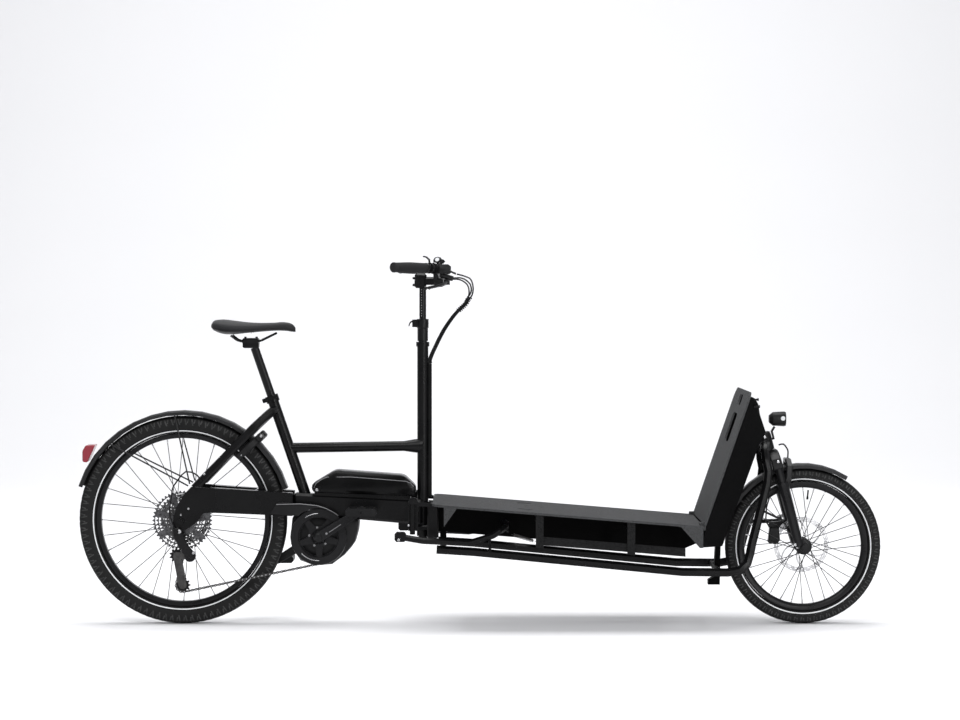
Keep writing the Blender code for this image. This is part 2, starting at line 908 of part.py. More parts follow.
def stay_ring(x, outer, inner, wall=0.0, side=-1):
    """Four corners of the hollow stay at one place along it."""
    top, low = line_z(*STAY_TOP, x) - wall, line_z(*STAY_LOW, x) + wall
    a, b = side * (outer - wall), side * (inner + wall)
    return [vec(x, a, low), vec(x, b, low), vec(x, b, top), vec(x, a, top)]


DROPOUT = (0.0710, 0.0770)
STAY_STATIONS = (
    (-0.5978, 0.0660, 0.0360),
    (-0.7000, 0.0660, 0.0360),
    (-0.7900, 0.0700, 0.0365),
    (-0.8550, 0.0770, 0.0370),
)


def chainstay(side):
    """A hollow stay from the beam to the plate outside the wheel's axle, open towards both ends."""
    wall = 0.0035
    outer = loft([stay_ring(*station, side=side) for station in STAY_STATIONS])
    stations = [(-0.58, *STAY_STATIONS[0][1:]), *STAY_STATIONS[1:3], (-0.87, 0.0800, 0.0360)]
    inner = loft([stay_ring(*station, wall, side) for station in stations])
    outline = [
        (-0.8400, 0.4390),
        (-0.8400, 0.3640),
        (-0.8814, 0.3605),
        (-0.9040, 0.3300),
        (-0.9300, 0.3120),
        (-0.9560, 0.2935),
        (-0.9740, 0.2935),
        (-0.9790, 0.3060),
        (-0.9760, 0.3480),
        (-0.9650, 0.3820),
        (-0.9430, 0.4200),
        (-0.9190, 0.4450),
        (-0.8800, 0.4426),
    ]
    near, far = sorted((side * DROPOUT[0], side * DROPOUT[1]))
    dropout = plate(outline, near, far)
    yoke = box(
        (-0.6100, min(side * 0.020, side * 0.0640), 0.372),
        (-0.5978 - 0.0003, max(side * 0.020, side * 0.0640), 0.414),
    )
    axle_room = rod(at(REAR_AXLE, side * 0.06), at(REAR_AXLE, side * 0.09), AXLE_RADIUS + GAP, 12)
    return outer, inner, dropout, yoke, axle_room


def seatstay(side):
    """A round stay from the side of the seat tube down to the plate by the axle."""
    line = [
        (-0.6537, 0.0, 0.6860),
        (-0.6640, side * 0.0330, 0.6850),
        (-0.7200, side * 0.0560, 0.6330),
        (-0.9080, side * 0.0800, 0.4400),
    ]
    return pipe(rounded(line, 0.03, 2), STAY_RADIUS, 10)


seat_axis = (at(SEAT_LOW), at(SEAT_HIGH))
outer, inner, dropout, yoke, axle_room = chainstay(-1)
bpy.data.objects.remove(yoke)
part("chainstay_right", outer, "frame", add=[dropout], cut=[axle_room, inner])
outer, inner, dropout, yoke, axle_room = chainstay(1)
axle_bar = rod(at(REAR_AXLE, -0.0860), at(REAR_AXLE, 0.0860), AXLE_RADIUS, 12)
nuts = islands([
    rod(at(REAR_AXLE, -(DROPOUT[1] + GAP)), at(REAR_AXLE, -0.0850), 0.0110, 6),
    rod(at(REAR_AXLE, DROPOUT[1] - 0.002), at(REAR_AXLE, 0.0850), 0.0110, 6),
])
caliper = plate(
    [(-0.9050, 0.3520), (-0.8700, 0.3700), (-0.8640, 0.4050), (-0.8800, 0.4180), (-0.9150, 0.3930)],
    0.0375,
    0.0715,
)
disc_room = rod(at(REAR_AXLE, 0.0480), at(REAR_AXLE, 0.0530), 0.0840, 24)
part("chainstay_left", outer, "frame", add=[dropout, yoke, axle_bar, nuts, carve(caliper, disc_room)])
bpy.data.objects.remove(inner)
bpy.data.objects.remove(axle_room)
for name, side in (("seatstay_right", -1), ("seatstay_left", 1)):
    room = rod(between(*seat_axis, -0.3), between(*seat_axis, 1.3), SEAT_TUBE + GAP, 16)
    foot = box((-1.0, -0.1, 0.40), (-0.8, 0.1, 0.4458))
    part(name, seatstay(side), "frame", cut=[room, foot])


def under(line, drop=0.2):
    """Room below a sloping line across the whole width of the frame."""
    (ax, az), (bx, bz) = line
    return plate([(ax, az + GAP), (bx, bz + GAP), (bx, bz - drop), (ax, az - drop)], -0.2, 0.2)


def arched(section, centre, start, end, cuts):
    """A section of sideways and radial distances carried along an arc in degrees."""
    rings = []
    for i in range(cuts + 1):
        angle = math.radians(start + (end - start) * i / cuts)
        c, s = math.cos(angle), math.sin(angle)
        rings.append([vec(centre[0] + r * c, y, centre[1] + r * s) for y, r in section])
    return loft(rings)


POST_LOW = between(SEAT_LOW, SEAT_HIGH, 0.57)
POST_TOP = between(SEAT_LOW, SEAT_HIGH, 1.51)
seat_direction = (at(SEAT_HIGH) - at(SEAT_LOW)).normalized()
tube = rod(between(*seat_axis, -0.1), seat_axis[1], SEAT_TUBE, 16)
bore = rod(between(*seat_axis, 0.10), between(*seat_axis, 1.1), SEATPOST + SLIDE_GAP, 16)
beam_line = (
    (-0.75, line_z(*BEAM_TOP, -0.75)),
    (-0.40, beam_top(-0.40)),
)
clamp_top = seat_axis[1] + seat_direction * 0.0015
collar = turned([(-0.022, 0.0), (-0.022, 0.0215), (0.0, 0.0215), (0.0, 0.0)], clamp_top, seat_direction, 16)
ears = block(
    clamp_top - seat_direction * 0.0110 + vec(-0.0240, 0, -0.006),
    (0.012, 0.020, 0.014),
    -WALL_LEAN,
)
slit = block(
    clamp_top - seat_direction * 0.0110 + vec(-0.0280, 0, -0.006),
    (0.020, 0.0030, 0.050),
    -WALL_LEAN,
)
part("seat_tube", tube, "frame", add=[collar, ears], cut=[bore, under(beam_line), slit])

LEVER_AXIS = clamp_top - seat_direction * 0.0110 + vec(-0.0250, -0.0165, -0.006)
lever = sweep(
    [
        LEVER_AXIS + vec(0.0, -0.0035, 0.0),
        LEVER_AXIS + vec(0.020, -0.0095, 0.008),
        LEVER_AXIS + vec(0.040, -0.008, 0.014),
    ],
    rectangle(0.004, 0.010),
)
barrel = rod(LEVER_AXIS - seat_direction * 0.006, LEVER_AXIS + seat_direction * 0.006, 0.0058, 8)
part("seat_clamp_lever", lever, "grey", add=[barrel], axis=LEVER_AXIS)

RAIL_LEVEL = 0.9070
SADDLE_RAIL = 0.0035


def saddle_rail(y, radius):
    line = [
        (-0.7960, y * 1.5, 0.9255),
        (-0.7720, y * 1.15, RAIL_LEVEL),
        (-0.7050, y, RAIL_LEVEL),
        (-0.6520, y * 0.45, 0.9330),
    ]
    return pipe(rounded(line, 0.02, 1), radius, 6)


saddle_rails = islands([saddle_rail(y, SADDLE_RAIL) for y in (-0.0220, 0.0220)])
post = rod(at(POST_LOW), at(POST_TOP), SEATPOST, 16)
head = bevel(box((-0.7600, -0.0290, 0.8850), (-0.7080, 0.0290, 0.9170)), 0.004, 1)
waist = [box((-0.80, y, 0.86), (-0.66, y + 0.030, 0.9005)) for y in (-0.0440, 0.0140)]
screws = islands([rod((x, 0, 0.9130), (x, 0, 0.9215), 0.0040, 8) for x in (-0.7520, -0.7160)])
part(
    "seatpost",
    post,
    "black",
    add=[carve(head, *waist), screws, saddle_rails],
    axis=at(SEAT_HIGH),
)

# Each row is a place along the saddle, half its width there, and its top and bottom
SADDLE_ROWS = (
    (-0.8570, 0.046, 0.9640, 0.9490),
    (-0.8480, 0.063, 0.9740, 0.9400),
    (-0.8200, 0.077, 0.9765, 0.9300),
    (-0.7850, 0.076, 0.9725, 0.9290),
    (-0.7480, 0.058, 0.9680, 0.9330),
    (-0.7050, 0.037, 0.9660, 0.9370),
    (-0.6600, 0.025, 0.9670, 0.9400),
    (-0.6250, 0.020, 0.9680, 0.9400),
    (-0.6020, 0.014, 0.9620, 0.9370),
    (-0.5916, 0.007, 0.9500, 0.9360),
)


def saddle_ring(x, half, top, low):
    tall = top - low
    side = [
        (0.50, top),
        (0.86, top - 0.16 * tall),
        (1.00, top - 0.45 * tall),
        (0.95, low + 0.20 * tall),
        (0.80, low),
    ]
    ring = [vec(x, 0, top - 0.03 * tall)]
    ring += [vec(x, half * a, z) for a, z in side]
    ring.append(vec(x, 0, low + 0.002))
    ring += [vec(x, -half * a, z) for a, z in reversed(side)]
    return ring


part("saddle", loft([saddle_ring(*row) for row in SADDLE_ROWS]), "black", axis=at(SEAT_HIGH))

motor = plate(
    [
        (-0.6000, 0.3505),
        (-0.3860, 0.3352),
        (-0.3900, 0.3000),
        (-0.3990, 0.2660),
        (-0.4120, 0.2473),
        (-0.4340, 0.2226),
        (-0.4730, 0.1930),
        (-0.5300, 0.1880),
        (-0.5750, 0.2050),
        (-0.5990, 0.2400),
        (-0.6050, 0.3000),
    ],
    -0.036,
    0.062,
)
part(
    "motor",
    bevel(motor, 0.010, 2, 60),
    "black",
    cut=[
        rod(at(CRANK_AXLE, -0.08), at(CRANK_AXLE, 0.10), SPINDLE_RADIUS + SHAFT_GAP, 16),
        plate([(-0.62, 0.3517 - GAP), (-0.38, 0.3355 - GAP), (-0.38, 0.37), (-0.62, 0.37)], -0.1, 0.1),
    ],
)

BATTERY_LOW = ((-0.5355, 0.4240), (-0.2062, 0.4113))
battery = plate(
    [
        BATTERY_LOW[0],
        BATTERY_LOW[1],
        (-0.2043, 0.4425),
        (-0.2429, 0.4788),
        (-0.4625, 0.4954),
        (-0.5393, 0.4495),
    ],
    -0.046,
    0.046,
)
battery_lock = rod((-0.5145, -0.0400, 0.4380), (-0.5145, -0.0480, 0.4380), 0.0070, 10)
part("battery", bevel(battery, 0.010, 2, 25), "black", add=[battery_lock])
tray = plate(
    [
        (-0.5300, beam_top(-0.5300) - 0.004),
        (-0.2230, beam_top(-0.2230) - 0.004),
        (-0.2230, line_z(*BATTERY_LOW, -0.2230) - GAP),
        (-0.5300, line_z(*BATTERY_LOW, -0.5300) - GAP),
    ],
    -0.027,
    0.027,
)

cover_arc = arc(CRANK_AXLE, GUARD_RADIUS, 44, 133, 8)
cover = plate(
    cover_arc + [
        (-0.5960, 0.3530),
        (-0.6660, 0.3575),
        (-0.6620, 0.3690),
        (-0.6469, 0.3918),
        (-0.6310, 0.3956),
        (-0.5080, 0.3835),
    ],
    -0.0700,
    -0.0664,
)
part("chain_cover", cover, "black")

GUARD_SECTION = [
    (-0.033, REAR_RADIUS + 0.003),
    (-0.033, REAR_RADIUS + 0.013),
    (-0.026, REAR_RADIUS + 0.017),
    (0.026, REAR_RADIUS + 0.017),
    (0.033, REAR_RADIUS + 0.013),
    (0.033, REAR_RADIUS + 0.003),
    (0.031, REAR_RADIUS + 0.003),
    (0.031, REAR_RADIUS + 0.0125),
    (-0.031, REAR_RADIUS + 0.0125),
    (-0.031, REAR_RADIUS + 0.003),
]
guard = arched(GUARD_SECTION, REAR_AXLE, 16.9, 161.8, 16)
struts = []
for side in (-1, 1):
    struts.append(rod((-0.9290, side * 0.0745, 0.4480), (-1.1885, side * 0.0322, 0.5814), 0.0025, 6))
    struts.append(rod((-0.9240, side * 0.0745, 0.4540), (-0.9774, side * 0.0322, 0.6751), 0.0025, 6))
part("rear_mudguard", guard, "black", add=[islands(struts)])

light = plate(
    [
        (-1.2310, 0.5755),
        (-1.2620, 0.5740),
        (-1.2724, 0.5560),
        (-1.2724, 0.5230),
        (-1.2680, 0.5197),
        (-1.2560, 0.5197),
    ],
    -0.0300,
    0.0300,
)
part("rear_light", bevel(light, 0.004, 1, 30), "red")

# Ring lock: u runs sideways and v up the plane of the ring
LOCK_LOW = (-0.7965, 0.5146)
LOCK_HIGH = (-0.6790, 0.6223)
LOCK_RADIUS = 0.064
LOCK_BAR = 0.0045
lock_v = (at(LOCK_HIGH) - at(LOCK_LOW)).normalized()
lock_w = vec(lock_v.z, 0, -lock_v.x)
LOCK_CENTRE = at(LOCK_LOW) + lock_v * (LOCK_RADIUS + 0.012)


def lock_point(degrees, radius=LOCK_RADIUS):
    angle = math.radians(degrees)
    return LOCK_CENTRE + vec(0, 1, 0) * radius * math.cos(angle) + lock_v * radius * math.sin(angle)


def lock_arc(start, end, cuts):
    return [lock_point(start + (end - start) * i / cuts) for i in range(cuts + 1)]


case = sweep(lock_arc(-38, 218, 12), rectangle(0.016, 0.024, 0.004), up=lock_w)
channels = [
    pipe(lock_arc(100, 226, 8), LOCK_BAR + 0.0016, 6),
    pipe(lock_arc(-46, -20, 2), LOCK_BAR + 0.0016, 6),
]
key_middle = lock_point(128, 0.0600)
key_case = sweep(
    [key_middle + vec(0, 0.010, 0) + lock_v * 0.006, key_middle + vec(0, -0.028, 0) + lock_v * 0.006],
    circle(0.0125, 10),
)
part("lock_body", case, "black", add=[key_case], cut=channels)
part("lock_shackle", pipe(lock_arc(106, 216, 9), LOCK_BAR, 6), "steel", axis=LOCK_CENTRE)


# Load deck


def below_deck(x, drop):
    return (x, deck_top(x) - drop)


deck_u = vec(1, 0, -DECK_SLOPE)
deck_w = vec(DECK_SLOPE, 0, 1).normalized()
deck_origin = vec(0, 0, deck_top(0))
corner = 0.035
outline = [(DECK_FRONT, -DECK_HALF), (DECK_FRONT, DECK_HALF)]
outline += arc((DECK_REAR + corner, DECK_HALF - corner), corner, 90, 180, 4)
outline += arc((DECK_REAR + corner, corner - DECK_HALF), corner, 180, 270, 4)
deck = plate(outline, -DECK_THICK, 0.0, deck_origin, deck_u, vec(0, 1, 0), deck_w)
gussets = []
for side in (-1, 1):
    near, far = sorted((side * (DECK_HALF - 0.0035), side * (DECK_HALF - 0.0001)))
    gussets.append(
        plate([below_deck(-0.1130, 0.003), below_deck(-0.0700, 0.003), (-0.1130, 0.3300)], near, far)
    )
    gussets.append(
        plate(
            [
                below_deck(0.6000, 0.003),
                below_deck(0.6985, 0.003),
                (0.6985, 0.2640),
                (0.6880, 0.2640),
                (0.6300, 0.3290),
            ],
            near,
            far,
        )
    )
slots = []
for side in (-1, 1):
    ring = arc((0.127, side * 0.115), 0.009, 90, 270, 3) + arc((0.159, side * 0.115), 0.009, -90, 90, 3)
    slots.append(plate(ring, -0.03, 0.03, deck_origin, deck_u, vec(0, 1, 0), deck_w))
part("deck_plate", deck, "deck", add=[islands(gussets)], cut=[islands(slots)])

spine_low = 0.100
floor = DECK_THICK * 1.004 + GAP
spine = plate(
    [
        below_deck(MAST_X + MAST_RADIUS + 0.0008, floor),
        below_deck(DECK_FRONT - 0.001, floor),
        below_deck(DECK_FRONT - 0.001, 0.070),
        below_deck(0.6400, spine_low),
        below_deck(MAST_X + MAST_RADIUS + 0.0008, spine_low),
    ],
    -0.030,
    0.030,
)
cross = [
    plate(
        [
            below_deck(x - 0.013, floor + 0.0005),
            below_deck(x + 0.013, floor + 0.0005),
            below_deck(x + 0.013, 0.030),
            below_deck(x - 0.013, 0.030),
        ],
        -0.1975,
        0.1975,
    )
    for x in (0.187, 0.474)
]
stand_room = rod(
    (STAND_AXLE[0], -0.1, STAND_AXLE[1]),
    (STAND_AXLE[0], 0.1, STAND_AXLE[1]),
    STAND_TUBE + 2 * SHAFT_GAP,
    12,
)
carve(spine, stand_room)

for name, side in (("deck_rail_right", -1), ("deck_rail_left", 1)):
    near, far = sorted((side * 0.1980, side * 0.2155))
    posts = islands([
        plate(
            [
                below_deck(x, floor),
                below_deck(x + 0.024, floor),
                below_deck(x + 0.024, 0.109),
                below_deck(x, 0.109),
            ],
            near,
            far,
        )
        for x in (0.175, 0.462)
    ])
    near, far = sorted((side * 0.2000, side * 0.2080))
    band = plate(
        [
            below_deck(0.1850, 0.075),
            below_deck(0.6440, 0.075),
            below_deck(0.6440, 0.101),
            below_deck(0.1850, 0.101),
        ],
        near,
        far,
    )
    part(name, band, "deck", add=[posts])

brackets = []
for side in (-1, 1):
    near, far = sorted((side * 0.1480, side * 0.1620))
    channel = plate(
        arc((-0.2105, 0.4025), 0.0155, 0, 180, 6) + [(-0.2260, 0.3120), (-0.1950, 0.3120)],
        near,
        far,
    )
    hollow = box(
        (-0.2225, min(side * 0.1520, side * 0.1700), 0.3000),
        (-0.1985, max(side * 0.1520, side * 0.1700), 0.3960),
    )
    brackets.append(carve(channel, hollow))
    brackets.append(
        plate(
            [
                (-0.1960, 0.3900),
                (DECK_REAR - 0.0016, 0.3880),
                (DECK_REAR - 0.0016, 0.4000),
                (-0.1960, 0.4015),
            ],
            near,
            far,
        )
    )
brackets.append(box((-0.2200, -0.1500, 0.3500), (-0.2020, 0.1500, 0.3700)))
part("main_beam", beam, "frame", add=[tray, *brackets])

LOWER_RAIL = (
    (-0.137, 0.145, 0.252),
    (-0.019, 0.145, 0.2446),
    (0.640, 0.145, 0.1812),
    (0.7825, 0.145, 0.1794),
    (0.8200, 0.145, 0.1860),
    (0.8440, 0.1420, 0.2080),
    (0.8540, 0.1355, 0.2400),
    (0.8605, 0.1265, 0.2680),
    (0.8960, 0.100, 0.395),
    (0.9120, 0.090, 0.456),
    (0.9160, 0.088, 0.495),
    (0.9090, 0.086, 0.528),
    (0.9060, 0.070, 0.560),
    (0.9110, 0.040, 0.5790),
    (0.9160, 0.0, 0.5860),
)


def fork_point(down, ahead=0.0, y=0.0):
    """A place in the fork from its distances down and ahead of the steering axis."""
    c, s = math.cos(STEER_LEAN), math.sin(STEER_LEAN)
    return vec(STEER_POINT[0] + s * down + c * ahead, y, STEER_POINT[1] - c * down + s * ahead)


HEAD_RADIUS = 0.0210


def head_room():
    return rod(fork_point(-0.2), fork_point(0.2), HEAD_RADIUS + GAP, 20)


def rail_room(side, grow):
    line = [(x, side * y, z) for x, y, z in LOWER_RAIL[:5]]
    line[0] = (-0.25, side * RAIL_Y, line_z((line[0][0], line[0][2]), (line[1][0], line[1][2]), -0.25))
    return pipe(line, RAIL_RADIUS + grow, 8)


for name, side in (("lower_rail_right", -1), ("lower_rail_left", 1)):
    line = [(x, side * y, z) for x, y, z in LOWER_RAIL]
    part(name, pipe(line, RAIL_RADIUS, 8), "frame", cut=[head_room()])

clamp_low = deck_top(-0.118) - spine_low + 0.004
tabs = islands([box((-0.1280, y, 0.2480), (-0.1080, y + 0.006, clamp_low)) for y in (-0.0250, 0.0190)])
crossbar = rod((-0.1180, -0.1450, 0.2508), (-0.1180, 0.1450, 0.2508), 0.0105, 10)

strut = plate(
    [
        (0.7560, 0.2620),
        (0.7720, 0.2620),
        (0.7695, 0.1260),
        (0.7323, 0.1260),
        (0.7323, 0.1410),
        (0.7500, 0.1510),
    ],
    -0.0180,
    0.0180,
)
strut_head = plate(
    [(0.6900, 0.2660), (0.6900, 0.2900), (0.7600, 0.2700), (0.7710, 0.2640), (0.7710, 0.2460)],
    -0.0150,
    0.0150,
)
front_bar = rod((0.7560, -0.1450, 0.1800), (0.7560, 0.1450, 0.1800), 0.0100, 10)
part(
    "deck_spine",
    spine,
    "frame",
    add=[islands(cross), crossbar, tabs, strut, strut_head, front_bar],
    cut=[rail_room(-1, GAP), rail_room(1, GAP)],
)

wall_v = vec(math.sin(WALL_LEAN), 0, math.cos(WALL_LEAN))
wall_w = vec(math.cos(WALL_LEAN), 0, -math.sin(WALL_LEAN))
corner = 0.040
outline = [(-DECK_HALF, 0.0), (DECK_HALF, 0.0)]
outline += arc((DECK_HALF - corner, WALL_HEIGHT - corner), corner, 0, 90, 4)
outline += arc((corner - DECK_HALF, WALL_HEIGHT - corner), corner, 90, 180, 4)
wall = plate(outline, 0.0, WALL_THICK, at(WALL_FOOT), vec(0, 1, 0), wall_v, wall_w)


def wall_slot(half, low, high, radius):
    ring = arc(
        (half - radius, low + radius),
        radius,
        -90,
        0,
        3,
    ) + arc((half - radius, high - radius), radius, 0, 90, 3)
    ring += arc(
        (radius - half, high - radius),
        radius,
        90,
        180,
        3,
    ) + arc((radius - half, low + radius), radius, 180, 270, 3)
    return plate(ring, -0.02, 0.03, at(WALL_FOOT), vec(0, 1, 0), wall_v, wall_w)


part(
    "front_wall",
    wall,
    "wall",
    cut=[wall_slot(0.045, 0.387, 0.423, 0.012), wall_slot(0.062, 0.265, 0.361, 0.018)],
)

# Each cheek is a flat plate from the edge of the wall towards the head tube
CHEEK_SPLAY = 1.18
CHEEK = (
    (0.0100, 0.4270),
    (0.0227, 0.4256),
    (0.0400, 0.4120),
    (0.0588, 0.3820),
    (0.1000, 0.3352),
    (0.0920, 0.2846),
    (0.0905, 0.1657),
    (0.0870, 0.0394),
    (0.0870, -0.0513),
    (0.0150, -0.0719),
    (0.0100, 0.0000),
)
for name, side in (("cheek_right", -1), ("cheek_left", 1)):
    across = wall_w - vec(0, side * CHEEK_SPLAY, 0)
    out = (wall_w * CHEEK_SPLAY + vec(0, side, 0)).normalized()
    foot = at(WALL_FOOT, side * (DECK_HALF - 0.002))
    window = []
    if side > 0:
        ring = [(0.058 + a, b - 0.010) for a, b in rectangle(0.044, 0.050, 0.006)]
        window = [plate(ring, -0.02, 0.02, foot, across, wall_v, out)]
    part(name, plate(CHEEK, -0.004, 0.0, foot, across, wall_v, out), "wall", cut=window)

# Stand and its spring


def stand_leg(side):
    line = [
        (STAND_AXLE[0], side * 0.120, STAND_AXLE[1]),
        (STAND_AXLE[0], side * STAND_Y, STAND_AXLE[1]),
        (0.0400, side * STAND_Y, 0.3000),
        (-0.0330, side * STAND_Y, 0.2770),
        (-0.1800, side * STAND_Y, 0.2840),
        (-0.2490, side * STAND_Y, 0.2960),
    ]
    return rounded(line, 0.022, 1)


line = [Vector(spot) for spot in stand_leg(-1)[::-1] + stand_leg(1)]
feet = islands([
    plate(
        rectangle(0.036, 0.030, 0.006),
        side * STAND_Y - 0.015,
        side * STAND_Y + 0.015,
        (-0.2500, 0, 0.2965),
    ) for side in (-1, 1)
])
tab = rod((0.0300, -STAND_Y - 0.002, 0.2930), (0.0320, -STAND_Y - 0.006, 0.2470), 0.0045, 6)
lug = rod((0.0880, -STAND_Y + 0.010, 0.3120), (0.0880, -STAND_Y - 0.0070, 0.3120), 0.0030, 6)
lug_arm = rod((0.0820, -STAND_Y + 0.006, 0.3240), (0.0890, -STAND_Y + 0.006, 0.3105), 0.0040, 6)
part("stand", pipe(line, STAND_TUBE, 8), "frame", add=[feet, tab, lug_arm, lug], axis=at(STAND_AXLE))

SPRING_ENDS = ((0.0960, -0.1930, 0.3065), (0.1720, -0.1930, 0.2840))
SPRING_RADIUS = 0.0052
SPRING_WIRE = 0.0009
SPRING_TURNS = 5
axis = (Vector(SPRING_ENDS[1]) - Vector(SPRING_ENDS[0])).normalized()
su, sv, _ = frame_of(axis)
coil = []
for i in range(SPRING_TURNS * 8 + 1):
    t = i / (SPRING_TURNS * 8)
    angle = 2 * math.pi * SPRING_TURNS * t
    coil.append(
        Vector(between(*SPRING_ENDS, t)) + (su * math.cos(angle) + sv * math.sin(angle)) * SPRING_RADIUS
    )
part("stand_spring", pipe(coil, SPRING_WIRE, 5), "steel")
SPRING_PITCH = (Vector(SPRING_ENDS[1]) - Vector(SPRING_ENDS[0])).length / SPRING_TURNS
print(f"stand spring: gap between neighbouring curls {1000 * (SPRING_PITCH - 2 * SPRING_WIRE):.2f} mm")

# Head tube, fork and front brake

head = rod(fork_point(0.0480), fork_point(-0.0020), HEAD_RADIUS, 16)
lamp_arm = sweep(
    [(0.9250, 0, 0.5900), (0.9420, 0, 0.5950), (0.9360, 0, 0.6180), (0.9450, 0, 0.6330)],
    rectangle(0.014, 0.006),
)
part("head_tube", head, "frame", add=[lamp_arm], cut=[rod(fork_point(-0.1), fork_point(0.2), 0.0152, 12)])

STEERER = 0.0145
CROWN = [
    (0.024, 0.0505),
    (0.045, 0.0580),
    (0.066, 0.0780),
    (0.071, 0.0980),
    (0.071, 0.1120),
    (0.041, 0.1120),
    (0.041, 0.0980),
    (0.028, 0.0830),
]
crown_outline = CROWN + [(-y, s) for y, s in reversed(CROWN)]
fork_down = fork_point(1.0) - fork_point(0.0)
fork_ahead = fork_point(0.0, 1.0) - fork_point(0.0)
crown = plate(crown_outline, -0.0070, 0.0270, at(STEER_POINT), vec(0, 1, 0), fork_down, fork_ahead)
stanchions = islands([
    rod(
        fork_point(0.1000, LEG_AHEAD, side * LEG_Y),
        fork_point(0.2500, LEG_AHEAD, side * LEG_Y),
        0.0130,
        10,
    ) for side in (-1, 1)
])
steerer = rod(fork_point(-0.0060), fork_point(0.0600), STEERER, 12)
cap = turned(
    [(0.0025, 0.0), (0.0025, 0.0200), (0.0080, 0.0200), (0.0110, 0.0150), (0.0110, 0.0)],
    fork_point(0.0),
    -fork_down,
    12,
)
part(
    "fork_crown",
    bevel(crown, 0.004, 1, 40),
    "black",
    add=[stanchions, steerer, cap],
    axis=fork_point(0.0),
)


def fork_leg(side):
    profile = [
        (LOWER_TOP, 0.0),
        (LOWER_TOP, 0.0200),
        (LOWER_TOP + 0.012, 0.0205),
        (LOWER_TOP + 0.020, 0.0180),
        (0.330, 0.0155),
        (0.366, 0.0140),
        (0.374, 0.0),
    ]
    return turned(profile, fork_point(0.0, LEG_AHEAD, side * LEG_Y), fork_down, 10)


AXLE_DOWN, AXLE_AHEAD = 0.3746, 0.0280
arch_half = [
    (0.1720, 0.0200, 0.0560),
    (0.1460, 0.0360, 0.0560),
    (0.1140, 0.0470, 0.0500),
    (0.0960, 0.0500, 0.0280),
]
arch_line = [fork_point(s, t, y) for s, t, y in arch_half]
arch_line += [fork_point(s, t, -y) for s, t, y in reversed(arch_half)]
arch = sweep(arch_line, rectangle(0.015, 0.019, 0.003), up=fork_down)
ends = islands([
    plate(
        capsule((0.3500, LEG_AHEAD), (AXLE_DOWN, AXLE_AHEAD), 0.0130, 0.0150, 4),
        *sorted((side * 0.0465, side * 0.0580)),
        at(STEER_POINT),
        fork_down,
        fork_ahead,
        vec(0, 1, 0),
    )
    for side in (-1, 1)
])
other_leg = fork_leg(-1)
axle = rod(at(FRONT_AXLE, -0.0640), at(FRONT_AXLE, 0.0640), AXLE_RADIUS, 12)
axle_heads = islands(
    [rod(at(FRONT_AXLE, side * 0.0570), at(FRONT_AXLE, side * 0.0660), 0.0105, 8) for side in (-1, 1)]
)
mount = plate(
    [
        (0.9320, 0.3040),
        (0.9700, 0.3000),
        (1.0080, 0.2960),
        (1.0060, 0.3320),
        (0.9700, 0.3240),
        (0.9340, 0.3220),
    ],
    0.0450,
    0.0560,
)
tip = at(LINK_FRONT, LINK_Y)
fork_arm = sweep(
    [fork_point(0.275, LEG_AHEAD, 0.0560), fork_point(0.276, 0.004, 0.0900), tip + vec(0, 0.008, 0.0135)],
    rectangle(0.020, 0.009, 0.002),
)
stud = rod(tip + vec(0, 0, -0.0040), tip + vec(0, 0, 0.0200), 0.0040, 8)
bores = islands([
    rod(
        fork_point(0.1300, LEG_AHEAD, side * LEG_Y),
        fork_point(0.2950, LEG_AHEAD, side * LEG_Y),
        0.0130 + SLIDE_GAP,
        10,
    )
    for side in (-1, 1)
])
caliper = plate(
    [(0.9280, 0.2560), (0.9560, 0.2500), (0.9680, 0.2640), (0.9640, 0.3060), (0.9340, 0.3060)],
    0.0270,
    0.0520,
)
caliper = carve(
    bevel(caliper, 0.003, 1, 60),
    rod(at(FRONT_AXLE, 0.0345), at(FRONT_AXLE, 0.0385), 0.0940, 24),
)
brake_hose = pipe(
    rounded(
        [
            (0.9400, 0.0480, 0.2980),
            (0.9230, 0.0490, 0.3250),
            (0.9270, 0.0560, 0.3700),
            (0.9400, 0.0640, 0.4100),
            (0.9560, 0.0700, 0.4440),
        ],
        0.03,
        2,
    ),
    0.0025,
    5,
)
hose_clip = rod((0.9560, 0.0720, 0.4330), (0.9590, 0.0640, 0.4430), 0.0050, 6)
hose_loop = pipe(
    rounded(
        [
            (0.9890, 0.0120, 0.5220),
            (0.9905, 0.0120, 0.5560),
            (0.9760, 0.0120, 0.5780),
            (0.9600, 0.0130, 0.5730),
        ],
        0.02,
        2,
    ),
    0.0025,
    5,
)
part(
    "fork_lowers",
    fork_leg(1),
    "black",
    add=[
        other_leg,
        arch,
        ends,
        axle,
        axle_heads,
        mount,
        fork_arm,
        stud,
        caliper,
        brake_hose,
        hose_clip,
        hose_loop,
    ],
    cut=[bores],
    axis=fork_point(LOWER_TOP),
)

FRONT_SECTION = [(y, r - REAR_RADIUS + FRONT_RADIUS - 0.002) for y, r in GUARD_SECTION]
guard = arched(FRONT_SECTION, FRONT_AXLE, 57.9, 158, 11)
strut_ends = islands([
    rod((0.8300, side * 0.0322, 0.3990), (0.9720, side * 0.0370, 0.3320), 0.0025, 6) for side in (-1, 1)
])
part("front_mudguard", guard, "black", add=[strut_ends])

lamp = turned(
    [
        (-0.0300, 0.0),
        (-0.0300, 0.0120),
        (-0.0180, 0.0220),
        (0.0180, 0.0240),
        (0.0235, 0.0225),
        (0.0235, 0.0),
    ],
    (0.9570, 0, 0.6575),
    (1, 0, 0),
    16,
)
part("headlight", lamp, "black", axis=(0.9450, 0, 0.6400))

# Mast, top tube and steering column


def upright(low, high, radius, sides=16, x=MAST_X):
    return rod((x, 0, low), (x, 0, high), radius, sides)


